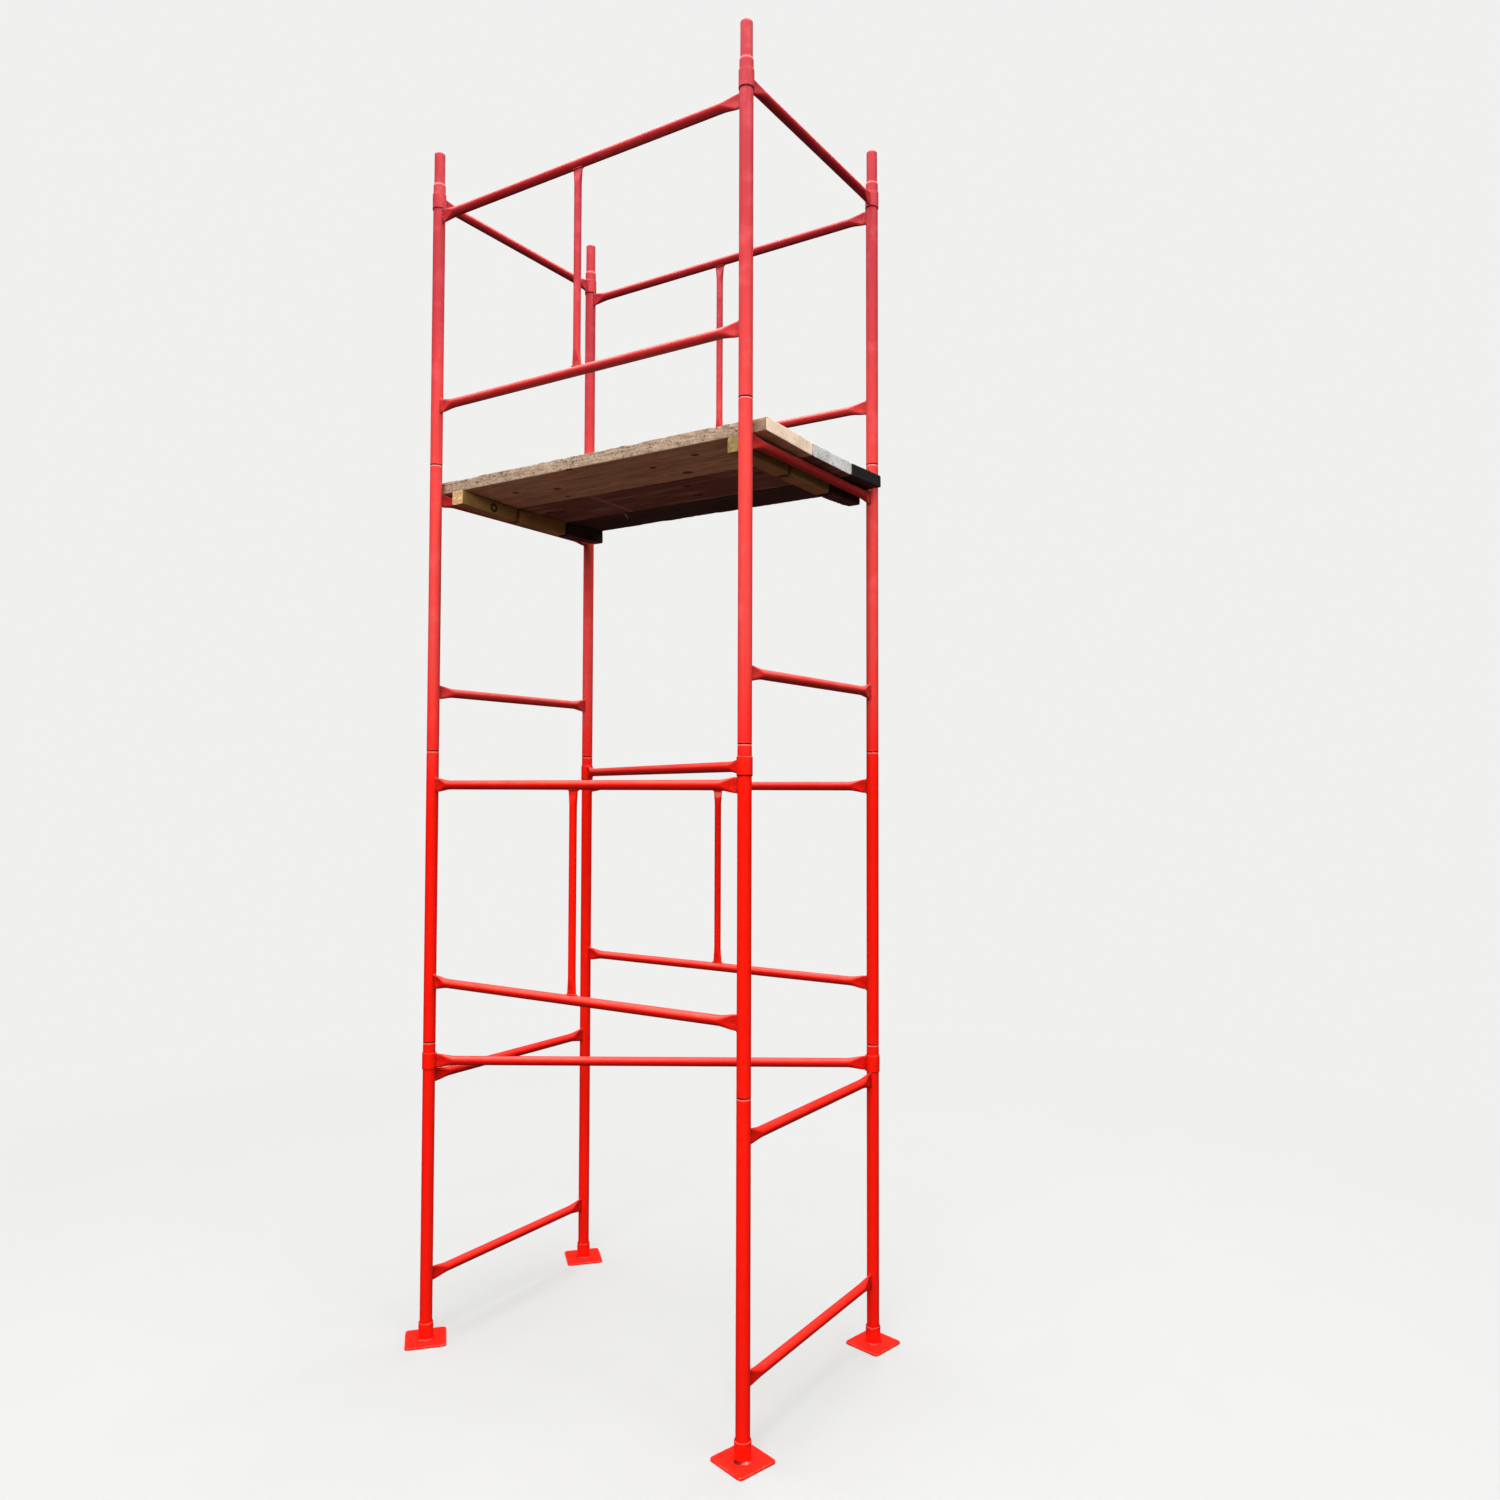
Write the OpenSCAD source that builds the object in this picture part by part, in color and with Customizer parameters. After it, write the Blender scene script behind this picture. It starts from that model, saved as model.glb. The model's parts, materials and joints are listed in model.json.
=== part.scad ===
// Tower scaffold of slot-together tubular frames, on swivelling base plates, with a three-board deck.
// Millimetres, +Z up, ground at Z = 0. +X runs along the long side, +Y towards the rear.
// Origin: on the ground, at the centre of the outline of the standing tower, base plates included.

/* [Frames] */
// Height of one frame, and the distance between two joints of an upright
frame_h = 914.4; // [700:0.1:1300]
// Distance between upright axes on the long side
bay_long = 1181; // [900:1:1600]
// Distance between upright axes on the short side
bay_short = 740; // [740:1:1200]
// Height of the lower rung's axis above the foot of its frame
rung_low = 190; // [120:1:300]
// Distance of the upper rung's axis below the joint
rung_drop = 106.4; // [104:0.1:160]

/* [Tubes] */
// Outside diameter of the uprights
upright_d = 38.1; // [34:0.1:48.3]
// Wall of the uprights
upright_wall = 1.6; // [1.2:0.1:2.0]
// Outside diameter of the rungs, braces and guard rails
rung_d = 28.6; // [22:0.1:34]
// Wall of the rungs, braces and guard rails
rung_wall = 1.5; // [1.2:0.1:2.5]
// Outside diameter of the middle struts
strut_d = 22.2; // [19:0.1:28]
// Length of the spigot above the joint
spigot_len = 101.6; // [60:0.1:150]
// Radial clearance of the spigot in the tube above it
spigot_gap = 0.55; // [0.3:0.05:0.8]

/* [Braces and guard rails] */
// Inside diameter of the sliding sleeves
sleeve_id = 39.3; // [39:0.1:40]
// Wall of the sliding sleeves
sleeve_wall = 1.6; // [1.2:0.1:3]
// Height of the sliding sleeves
sleeve_h = 50.8; // [48:0.1:60]
// Gap between a sleeve and the rung end it rests on
sleeve_rest = 2.2; // [0.5:0.1:5]

/* [Base plates] */
// Side of the square base plate
plate_side = 125; // [100:1:150]
// Thickness of the base plate
plate_t = 6; // [4:0.5:10]
// Corner radius of the base plate
plate_r = 12; // [4:1:20]
// Outside diameter of the socket
socket_od = 45; // [42:0.5:55]
// Height of the socket above the plate
socket_h = 50; // [30:1:80]
// Turn of the front right base plate
turn_fr = -16; // [-45:1:45]
// Turn of the front left base plate
turn_fl = 48; // [0:1:90]
// Turn of the rear left base plate
turn_rl = 48; // [0:1:90]
// Turn of the rear right base plate
turn_rr = -12; // [-45:1:45]

/* [Deck] */
// Length of the deck boards
board_len = 1250; // [1200:1:1320]
// Thickness of the deck boards
board_t = 38; // [25:1:50]
// Width of the front board
board_w_front = 248; // [200:1:248]
// Width of the middle board
board_w_mid = 233; // [150:1:234]
// Width of the rear board
board_w_rear = 194; // [150:1:194]
// How far the deck lies off centre, towards +X
deck_shift = 12; // [-20:1:20]
// Width of the cleats
cleat_w = 47; // [30:1:50]
// Depth of the cleats below the boards
cleat_h = 45; // [30:1:60]

/* [Hidden] */
NODES = [
  "bottom_left_frame_front_upright", "bottom_left_frame_rear_upright",
  "bottom_left_frame_lower_rung", "bottom_left_frame_upper_rung",
  "bottom_right_frame_front_upright", "bottom_right_frame_rear_upright",
  "bottom_right_frame_lower_rung", "bottom_right_frame_upper_rung",
  "second_front_frame_left_upright", "second_front_frame_right_upright",
  "second_front_frame_lower_rung", "second_front_frame_upper_rung",
  "second_rear_frame_left_upright", "second_rear_frame_right_upright",
  "second_rear_frame_lower_rung", "second_rear_frame_upper_rung",
  "second_frame_struts",
  "third_left_frame_front_upright", "third_left_frame_rear_upright",
  "third_left_frame_lower_rung", "third_left_frame_upper_rung",
  "third_right_frame_front_upright", "third_right_frame_rear_upright",
  "third_right_frame_lower_rung", "third_right_frame_upper_rung",
  "top_front_frame_left_upright", "top_front_frame_right_upright",
  "top_front_frame_lower_rung", "top_front_frame_upper_rung",
  "top_rear_frame_left_upright", "top_rear_frame_right_upright",
  "top_rear_frame_lower_rung", "top_rear_frame_upper_rung",
  "top_frame_struts",
  "front_right_base_plate", "front_right_base_socket",
  "front_left_base_plate", "front_left_base_socket",
  "rear_left_base_plate", "rear_left_base_socket",
  "rear_right_base_plate", "rear_right_base_socket",
  "lower_brace_tube", "lower_brace_sleeves", "upper_brace_tube", "upper_brace_sleeves",
  "left_guard_rail_tube", "left_guard_rail_sleeves",
  "right_guard_rail_tube", "right_guard_rail_sleeves",
  "front_deck_board", "front_deck_cleats", "front_deck_screws",
  "middle_deck_board", "middle_deck_cleats", "middle_deck_screws",
  "rear_deck_board", "rear_deck_cleats", "rear_deck_screws"
];
node = "all";

red = [0.86, 0.07, 0.05];
board_brown = [0.62, 0.5, 0.38];
cleat_brown = [0.6, 0.52, 0.36];
screw_grey = [0.6, 0.6, 0.58];

seat_gap = 0.02;   // between stacked parts
weld_gap = 0.05;   // between a coped tube end and the tube it meets
cut = 1;           // how far a bore runs past the end of its part

// Upright and spigot
upright_r = upright_d / 2;
bore_r = upright_r - upright_wall;
spigot_r = bore_r - spigot_gap;
cone_h = 7;
// the foot of the tube above rests where the cone is as wide as its bore
cone_z = frame_h - cone_h * (upright_r - bore_r + 0.03) / (upright_r - spigot_r);
bore_drop = 6;     // the cone inside lies this far below the one outside
tip_h = 1.5;       // bevel at the top of the spigot
tip_inset = 1;
tip_z = frame_h + spigot_len - tip_h;

// Rungs, with ends pressed flat
rung_up = frame_h - rung_drop;
flat_h = PI * (rung_d - rung_wall) / 2 + rung_wall - 1.1;
flat_t = 6;
flare_len = 50;    // length over which a round tube goes over into its flat end
rung_cope_r = upright_r + weld_gap;
rung_pad = rung_cope_r + 14;   // from the upright's axis to the end of the flat

// Middle struts
strut_wall = 1.5;
strut_flat_h = 33;
strut_flare_len = 46;
strut_cope_r = rung_d / 2 + weld_gap;
strut_pad = strut_cope_r + 8;

// Sleeves, with heights above the foot of the frame
sleeve_od = sleeve_id + 2 * sleeve_wall;
sleeve_z = rung_up + flat_h / 2 + sleeve_rest;
sleeve_cope_r = sleeve_od / 2 + weld_gap;
sleeve_pad = sleeve_cope_r + 12;

// Weld fillet at the foot of a socket, as wide as it is high
fillet = 5;

// Feet of the four tiers of frames
bottom_z = plate_t + seat_gap;
second_z = bottom_z + frame_h;
third_z = second_z + frame_h;
top_z = third_z + frame_h;

// How far a base plate reaches in X from its own centre
function reach(turn) =
  (plate_side / 2 - plate_r) * (abs(cos(turn)) + abs(sin(turn))) + plate_r;

// X of the frames' centre, which centres the outline of the base plates on the origin
centre_x = (max(reach(turn_fl), reach(turn_rl)) - max(reach(turn_fr), reach(turn_rr))) / 2;
left_x = centre_x - bay_long / 2;
right_x = centre_x + bay_long / 2;
rear_y = bay_short / 2;
front_y = -rear_y;
front_left = [left_x, front_y];
front_right = [right_x, front_y];
rear_left = [left_x, rear_y];
rear_right = [right_x, rear_y];

// The deck lies on the round part of the third tier's upper rungs
deck_z = third_z + rung_up + rung_d / 2 + 0.15;
front_inset = 29;  // from the front upright axes to the front board
rear_inset = 30;   // from the rear board to the rear upright axes
front_board_y = front_y + front_inset + board_w_front;
mid_board_y = front_board_y + 3;
rear_board_y = rear_y - rear_inset - board_w_rear;
// the outer edges of the front and rear boards lie on the flared ends of the rungs,
// so these boards slope a little
flat_rise = (flat_h - rung_d) / 2;
tilt_front = atan(flat_rise / (front_board_y - front_y - rung_pad));
tilt_rear = atan(flat_rise / (rear_y - rung_pad - rear_board_y));

// Boards: Y of the lower edge that lies on the rungs, tilt about that edge,
// side the board lies on (-1 front, 1 rear), width, cleat start and end measured from the edge
front_deck = [front_board_y, -tilt_front, -1, board_w_front, 12, board_w_front + 6];
middle_deck = [mid_board_y, 0, 1, board_w_mid, 4, board_w_mid - 8];
rear_deck = [rear_board_y, tilt_rear, 1, board_w_rear, 2, board_w_rear - 4];
function side(deck) = deck[2];
function width(deck) = deck[3];

cleat_x = 529;     // from the middle of the board to each cleat's centre
screw_places = [0.16, 0.5, 0.84];   // shares of the board's width
screw_d = 4.5;
screw_len = 74;
point_h = 4;
point_d = 0.6;
sink = 3.7;        // depth of the underside of the screw head
head_h = 4;
head_d = 9.4;

module at(corner, z) { translate([corner[0], corner[1], z]) children(); }

// Hollow upright with a pressed-in spigot at the top
module upright(corner, foot_z) {
  color(red) at(corner, foot_z) difference() {
    union() {
      cylinder(r = upright_r, h = cone_z, $fn = 64);
      translate([0, 0, cone_z]) cylinder(r1 = upright_r, r2 = spigot_r, h = cone_h, $fn = 64);
      translate([0, 0, cone_z + cone_h])
        cylinder(r = spigot_r, h = tip_z - cone_z - cone_h, $fn = 64);
      translate([0, 0, tip_z])
        cylinder(r1 = spigot_r, r2 = spigot_r - tip_inset, h = tip_h, $fn = 64);
    }
    translate([0, 0, -cut]) cylinder(r = bore_r, h = cone_z - bore_drop + cut, $fn = 64);
    translate([0, 0, cone_z - bore_drop])
      cylinder(r1 = bore_r, r2 = spigot_r - upright_wall, h = cone_h, $fn = 64);
    translate([0, 0, cone_z + cone_h - bore_drop - 0.01])
      cylinder(r = spigot_r - upright_wall, h = frame_h + spigot_len, $fn = 64);
  }
}

// Flat oval, long in Y, drawn in the XY plane
module oval(long, thick) {
  square([thick, long - thick], center = true);
  for (s = [-1, 1]) translate([0, s * (long - thick) / 2]) circle(d = thick, $fn = 24);
}

// Tube along +X between two axes that run along Z. Its ends are pressed flat (flat high,
// flat_t thick) up to pad from the axis, flare out to the round, and are coped to cope_r.
module flat_ended_tube(length, d, wall, flat, pad, flare, cope_r) {
  round_x = pad + flare;
  difference() {
    union() {
      translate([round_x, 0, 0]) rotate([0, 90, 0])
        cylinder(d = d, h = length - 2 * round_x, $fn = 48);
      for (e = [0, 1]) translate([e * length, 0, 0]) mirror([e, 0, 0]) {
        hull() {
          translate([pad - 1, 0, 0]) rotate([90, 0, 90])
            linear_extrude(1) oval(flat - 0.1, flat_t - 0.1);
          translate([round_x - 0.5, 0, 0]) rotate([0, 90, 0])
            cylinder(d = d - 0.1, h = 1, $fn = 24);
        }
        translate([cope_r * 0.6, 0, 0]) rotate([90, 0, 90])
          linear_extrude(pad - cope_r * 0.6) oval(flat, flat_t);
      }
    }
    for (e = [0, 1]) translate([e * length, 0, -flat])
      cylinder(r = cope_r, h = 2 * flat, $fn = 64);
    // the bore stops short of the flares
    translate([round_x + 4, 0, 0]) rotate([0, 90, 0])
      cylinder(d = d - 2 * wall, h = length - 2 * round_x - 8, $fn = 48);
  }
}

module rung_tube(length, pad, cope_r) {
  flat_ended_tube(length, d = rung_d, wall = rung_wall, flat = flat_h,
    pad = pad, flare = flare_len, cope_r = cope_r);
}

// Rung along Y, between the uprights of a side frame
module side_rung(x, z) {
  color(red) translate([x, front_y, z]) rotate([0, 0, 90])
    rung_tube(bay_short, rung_pad, rung_cope_r);
}

// Rung along X, between the uprights of a front or rear frame
module long_rung(y, z) {
  color(red) translate([left_x, y, z]) rung_tube(bay_long, rung_pad, rung_cope_r);
}

// Vertical struts between the rungs of the front and rear frames, flat ends wide along the rungs
module struts(foot_z) {
  color(red) for (y = [front_y, rear_y])
    translate([centre_x, y, foot_z + rung_low]) rotate([0, -90, 0])
      flat_ended_tube(rung_up - rung_low, d = strut_d, wall = strut_wall, flat = strut_flat_h,
        pad = strut_pad, flare = strut_flare_len, cope_r = strut_cope_r);
}

// Square plate with rounded corners
module plate(corner, turn) {
  inner = plate_side - 2 * plate_r;
  color(red) at(corner, 0) rotate([0, 0, turn]) linear_extrude(plate_t) {
    square([plate_side, inner], center = true);
    square([inner, plate_side], center = true);
    for (i = [-1, 1], j = [-1, 1])
      translate([i * inner / 2, j * inner / 2]) circle(r = plate_r, $fn = 48);
  }
}

// Socket with the weld fillet at its foot
module socket(corner) {
  color(red) at(corner, bottom_z) difference() {
    union() {
      cylinder(d = socket_od, h = socket_h, $fn = 64);
      cylinder(r1 = socket_od / 2 + fillet, r2 = socket_od / 2, h = fillet, $fn = 64);
    }
    translate([0, 0, -cut]) cylinder(d = sleeve_id, h = socket_h + 2 * cut, $fn = 64);
  }
}

// Sleeves of a brace or guard rail, one on each of two uprights
module sleeves(start, end, foot_z) {
  color(red) for (corner = [start, end]) at(corner, foot_z + sleeve_z) difference() {
    cylinder(d = sleeve_od, h = sleeve_h, $fn = 64);
    translate([0, 0, -cut]) cylinder(d = sleeve_id, h = sleeve_h + 2 * cut, $fn = 64);
  }
}

// Tube of a brace or guard rail, between its two sleeves
module sleeve_tube(start, end, foot_z) {
  run = end - start;
  color(red) at(start, foot_z + sleeve_z + sleeve_h / 2) rotate([0, 0, atan2(run[1], run[0])])
    rung_tube(norm(run), sleeve_pad, sleeve_cope_r);
}

// Places a board or its fittings, turned about the lower edge that lies on the rungs
module on_rungs(deck) {
  translate([centre_x + deck_shift, deck[0], deck_z]) rotate([deck[1], 0, 0]) children();
}

module board(deck) {
  color(board_brown) on_rungs(deck)
    translate([-board_len / 2, side(deck) > 0 ? 0 : -width(deck), 0])
      cube([board_len, width(deck), board_t]);
}

module cleats(deck) {
  start = deck[4];
  end = deck[5];
  color(cleat_brown) on_rungs(deck) for (s = [-1, 1])
    translate([s * cleat_x - cleat_w / 2, side(deck) > 0 ? start : -end, -cleat_h - seat_gap])
      cube([cleat_w, end - start, cleat_h]);
}

// Countersunk screws down through the board into each cleat
module screws(deck) {
  shank_h = screw_len - point_h - sink;
  color(screw_grey) on_rungs(deck) for (s = [-1, 1], place = screw_places)
    translate([s * cleat_x, side(deck) * place * width(deck), 0]) {
      translate([0, 0, board_t - screw_len + point_h]) cylinder(d = screw_d, h = shank_h, $fn = 24);
      translate([0, 0, board_t - sink]) cylinder(d1 = screw_d, d2 = head_d, h = head_h, $fn = 24);
      translate([0, 0, board_t - screw_len])
        cylinder(d1 = point_d, d2 = screw_d, h = point_h + 0.01, $fn = 24);
    }
}

function on(name) = node == "all" || node == name;

if (on("bottom_left_frame_front_upright")) upright(front_left, bottom_z);
if (on("bottom_left_frame_rear_upright")) upright(rear_left, bottom_z);
if (on("bottom_left_frame_lower_rung")) side_rung(left_x, bottom_z + rung_low);
if (on("bottom_left_frame_upper_rung")) side_rung(left_x, bottom_z + rung_up);
if (on("bottom_right_frame_front_upright")) upright(front_right, bottom_z);
if (on("bottom_right_frame_rear_upright")) upright(rear_right, bottom_z);
if (on("bottom_right_frame_lower_rung")) side_rung(right_x, bottom_z + rung_low);
if (on("bottom_right_frame_upper_rung")) side_rung(right_x, bottom_z + rung_up);

if (on("second_front_frame_left_upright")) upright(front_left, second_z);
if (on("second_front_frame_right_upright")) upright(front_right, second_z);
if (on("second_front_frame_lower_rung")) long_rung(front_y, second_z + rung_low);
if (on("second_front_frame_upper_rung")) long_rung(front_y, second_z + rung_up);
if (on("second_rear_frame_left_upright")) upright(rear_left, second_z);
if (on("second_rear_frame_right_upright")) upright(rear_right, second_z);
if (on("second_rear_frame_lower_rung")) long_rung(rear_y, second_z + rung_low);
if (on("second_rear_frame_upper_rung")) long_rung(rear_y, second_z + rung_up);
if (on("second_frame_struts")) struts(second_z);

if (on("third_left_frame_front_upright")) upright(front_left, third_z);
if (on("third_left_frame_rear_upright")) upright(rear_left, third_z);
if (on("third_left_frame_lower_rung")) side_rung(left_x, third_z + rung_low);
if (on("third_left_frame_upper_rung")) side_rung(left_x, third_z + rung_up);
if (on("third_right_frame_front_upright")) upright(front_right, third_z);
if (on("third_right_frame_rear_upright")) upright(rear_right, third_z);
if (on("third_right_frame_lower_rung")) side_rung(right_x, third_z + rung_low);
if (on("third_right_frame_upper_rung")) side_rung(right_x, third_z + rung_up);

if (on("top_front_frame_left_upright")) upright(front_left, top_z);
if (on("top_front_frame_right_upright")) upright(front_right, top_z);
if (on("top_front_frame_lower_rung")) long_rung(front_y, top_z + rung_low);
if (on("top_front_frame_upper_rung")) long_rung(front_y, top_z + rung_up);
if (on("top_rear_frame_left_upright")) upright(rear_left, top_z);
if (on("top_rear_frame_right_upright")) upright(rear_right, top_z);
if (on("top_rear_frame_lower_rung")) long_rung(rear_y, top_z + rung_low);
if (on("top_rear_frame_upper_rung")) long_rung(rear_y, top_z + rung_up);
if (on("top_frame_struts")) struts(top_z);

if (on("front_right_base_plate")) plate(front_right, turn_fr);
if (on("front_right_base_socket")) socket(front_right);
if (on("front_left_base_plate")) plate(front_left, turn_fl);
if (on("front_left_base_socket")) socket(front_left);
if (on("rear_left_base_plate")) plate(rear_left, turn_rl);
if (on("rear_left_base_socket")) socket(rear_left);
if (on("rear_right_base_plate")) plate(rear_right, turn_rr);
if (on("rear_right_base_socket")) socket(rear_right);

if (on("lower_brace_tube")) sleeve_tube(front_left, rear_right, bottom_z);
if (on("lower_brace_sleeves")) sleeves(front_left, rear_right, bottom_z);
if (on("upper_brace_tube")) sleeve_tube(rear_left, front_right, second_z);
if (on("upper_brace_sleeves")) sleeves(rear_left, front_right, second_z);
if (on("left_guard_rail_tube")) sleeve_tube(front_left, rear_left, top_z);
if (on("left_guard_rail_sleeves")) sleeves(front_left, rear_left, top_z);
if (on("right_guard_rail_tube")) sleeve_tube(front_right, rear_right, top_z);
if (on("right_guard_rail_sleeves")) sleeves(front_right, rear_right, top_z);

if (on("front_deck_board")) board(front_deck);
if (on("front_deck_cleats")) cleats(front_deck);
if (on("front_deck_screws")) screws(front_deck);
if (on("middle_deck_board")) board(middle_deck);
if (on("middle_deck_cleats")) cleats(middle_deck);
if (on("middle_deck_screws")) screws(middle_deck);
if (on("rear_deck_board")) board(rear_deck);
if (on("rear_deck_cleats")) cleats(rear_deck);
if (on("rear_deck_screws")) screws(rear_deck);
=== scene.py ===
"""Tower of red steel tube frames stacked in layers, with three wooden deck boards.

Metres, +Z up. The boards run along X, from left (-X) to right (+X), and lie in rows from
front (-Y) to rear (+Y). The frames stand on base plates; each upright has a narrow spigot
at its top that enters the upright above. The frame's pieces are replaced one by one.
"""
import json
import math
from collections import namedtuple
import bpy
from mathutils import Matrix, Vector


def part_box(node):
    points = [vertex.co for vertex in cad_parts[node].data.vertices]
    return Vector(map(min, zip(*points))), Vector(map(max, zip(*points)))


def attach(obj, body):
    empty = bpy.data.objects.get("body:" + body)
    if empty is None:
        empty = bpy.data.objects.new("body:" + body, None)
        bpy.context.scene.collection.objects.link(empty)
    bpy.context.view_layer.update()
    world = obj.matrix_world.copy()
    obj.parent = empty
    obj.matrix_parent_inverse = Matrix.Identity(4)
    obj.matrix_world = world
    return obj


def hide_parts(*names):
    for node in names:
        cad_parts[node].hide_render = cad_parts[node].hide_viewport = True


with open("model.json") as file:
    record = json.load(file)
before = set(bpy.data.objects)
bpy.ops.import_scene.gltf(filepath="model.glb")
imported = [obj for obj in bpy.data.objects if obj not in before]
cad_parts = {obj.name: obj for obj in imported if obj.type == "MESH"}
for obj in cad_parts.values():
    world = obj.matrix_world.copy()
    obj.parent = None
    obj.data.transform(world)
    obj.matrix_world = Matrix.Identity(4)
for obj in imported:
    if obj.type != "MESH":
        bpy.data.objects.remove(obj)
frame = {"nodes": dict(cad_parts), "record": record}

from types import SimpleNamespace

import bmesh
import bpy
import numpy as np
from mathutils import Matrix, Vector

NODES = frame["nodes"]
BODY_OF = {
    node: body
    for body, nodes in frame["record"]["behaviour"]["bodies"].items()
    for node in nodes
}
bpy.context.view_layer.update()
TAU = 2 * math.pi

FRAME_HEIGHT = (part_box("second_front_frame_left_upright")[0].z
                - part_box("bottom_left_frame_front_upright")[0].z)
WALL = 0.0016  # wall of the uprights
SPIGOT_RADIUS = 0.0169
SPIGOT_CONE = 0.007  # height of the cone from the upright to its spigot
COLLAR_BORE = 0.01965  # inner radius of the sleeves and base sockets
SOCKET_RADIUS = 0.0225
BAR_RADIUS = 0.0143  # bars between two sleeves
PRESSED = 2 * 0.003  # thickness of a bar's pressed end
JOINT_GAP = 0.00005  # between a bar's end and the tube it meets
BAR_PRESS, STRUT_PRESS = 0.050, 0.046  # length over which a pressed end turns round
RUNG_PAD, SLEEVE_BAR_PAD, STRUT_PAD = 0.014, 0.012, 0.008  # length of the flat at an end
PLATE_CORNER = 0.012


# ---------------------------------------------------------------- noise for shapes
def lattice_hash(i, j, k, seed):
    """Random values in -1..1 at whole-number places."""
    h = i * 374761393 + j * 668265263 + k * 2147483647 + seed * 974711 + 12345
    h = h & 0xFFFFFFFF
    h = ((h ^ (h >> 13)) * 1274126177) & 0xFFFFFFFF
    h = (h ^ (h >> 16)) & 0xFFFF
    return h / 32767.5 - 1.0


def value_noise(x, y, z, seed):
    """Smooth noise in -1..1; the coordinates may be arrays or single numbers."""
    place = np.stack(np.broadcast_arrays(x, y, z), -1).astype(float)
    cell = np.floor(place).astype(np.int64)
    part = place - cell
    part = part * part * (3 - 2 * part)
    total = 0.0
    for i in (0, 1):
        for j in (0, 1):
            for k in (0, 1):
                weight = part[..., 0] if i else 1 - part[..., 0]
                weight = weight * (part[..., 1] if j else 1 - part[..., 1])
                weight = weight * (part[..., 2] if k else 1 - part[..., 2])
                corner = lattice_hash(cell[..., 0] + i, cell[..., 1] + j, cell[..., 2] + k, seed)
                total = total + weight * corner
    return total


def layered_noise(x, y, z, seed):
    """Three octaves of value noise, in -1..1."""
    total = 0.0
    for octave in range(3):
        places = (np.asarray(c, float) * 2 ** octave + 17.3 * octave for c in (x, y, z))
        total = total + 0.5 ** octave * value_noise(*places, seed + octave)
    return total / 1.75


def smooth(low, high, value):
    share = np.clip((np.asarray(value, float) - low) / (high - low), 0, 1)
    return share * share * (3 - 2 * share)


# ---------------------------------------------------------------- meshes
class Geo:
    """Shells of one piece, with the attributes its material reads.

    tc is a place (length, across, across), wear marks rubbed paint and some painted highlights,
    and weld marks weld (up to 1) and seams, bores and rims painted dark as shade (up to 2).
    """

    def __init__(self):
        self.points, self.faces, self.tc, self.wear, self.weld = [], [], [], [], []
        self.count = 0

    def add(self, rings, tc=None, wear=0.0, weld=0.0, closed=False):
        """Skin rings of points (rings, points, 3). Closed joins last to first; else capped."""
        rings = np.array(rings, float)
        rows, columns, _ = rings.shape
        start = self.count
        for i in range(rows if closed else rows - 1):
            here = start + i * columns
            there = start + (i + 1) % rows * columns
            for j in range(columns):
                k = (j + 1) % columns
                self.faces.append((here + j, here + k, there + k, there + j))
        if not closed:
            last = start + (rows - 1) * columns
            self.faces.append(tuple(range(start, start + columns))[::-1])
            self.faces.append(tuple(range(last, last + columns)))
        size = rows * columns
        flat = rings.reshape(-1, 3)
        self.points.append(flat)
        self.tc.append(flat.copy() if tc is None else np.array(tc, float).reshape(-1, 3))
        self.wear.append(np.broadcast_to(np.ravel(wear), (size,)))
        self.weld.append(np.broadcast_to(np.ravel(weld), (size,)))
        self.count += size

    def piece(self, node, material, suffix, sharp):
        """Make the object that stands in for node; edges over sharp degrees stay hard."""
        name = node + "_" + suffix
        mesh = bpy.data.meshes.new(name)
        mesh.from_pydata(np.vstack(self.points).tolist(), [], self.faces)
        work = bmesh.new()
        work.from_mesh(mesh)
        bmesh.ops.recalc_face_normals(work, faces=work.faces)
        work.to_mesh(mesh)
        work.free()
        places = mesh.attributes.new("tc", "FLOAT_VECTOR", "POINT")
        places.data.foreach_set("vector", np.vstack(self.tc).astype(np.float32).ravel())
        for key, values in (("wear", self.wear), ("weld", self.weld)):
            attribute = mesh.attributes.new(key, "FLOAT", "POINT")
            attribute.data.foreach_set("value", np.concatenate(values).astype(np.float32))
        mesh.shade_smooth()
        mesh.set_sharp_from_angle(angle=math.radians(sharp))
        mesh.materials.append(material)
        obj = bpy.data.objects.new(name, mesh)
        bpy.context.scene.collection.objects.link(obj)
        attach(obj, BODY_OF[node])
        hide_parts(node)


def revolve(geo, profile, centre, segments=72, wobble=None):
    """Turn a closed profile of (radius, z, wear, weld) about the vertical through centre."""
    table = np.asarray(profile, float)[:, :, None]
    radius, z, wear, weld = (np.repeat(table[:, k], segments, 1) for k in range(4))
    angle = np.arange(segments) / segments * TAU
    if wobble is not None:
        radius_shift, z_shift = wobble(angle, radius, z)
        radius, z = radius + radius_shift, z + z_shift
    east, north = radius * np.cos(angle), radius * np.sin(angle)
    rings = np.stack([centre[0] + east, centre[1] + north, z], -1)
    tc = np.stack([z + centre[0] * 3.1 + centre[1] * 7.7, east, north], -1)
    geo.add(rings, tc, wear, weld, closed=True)


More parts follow.
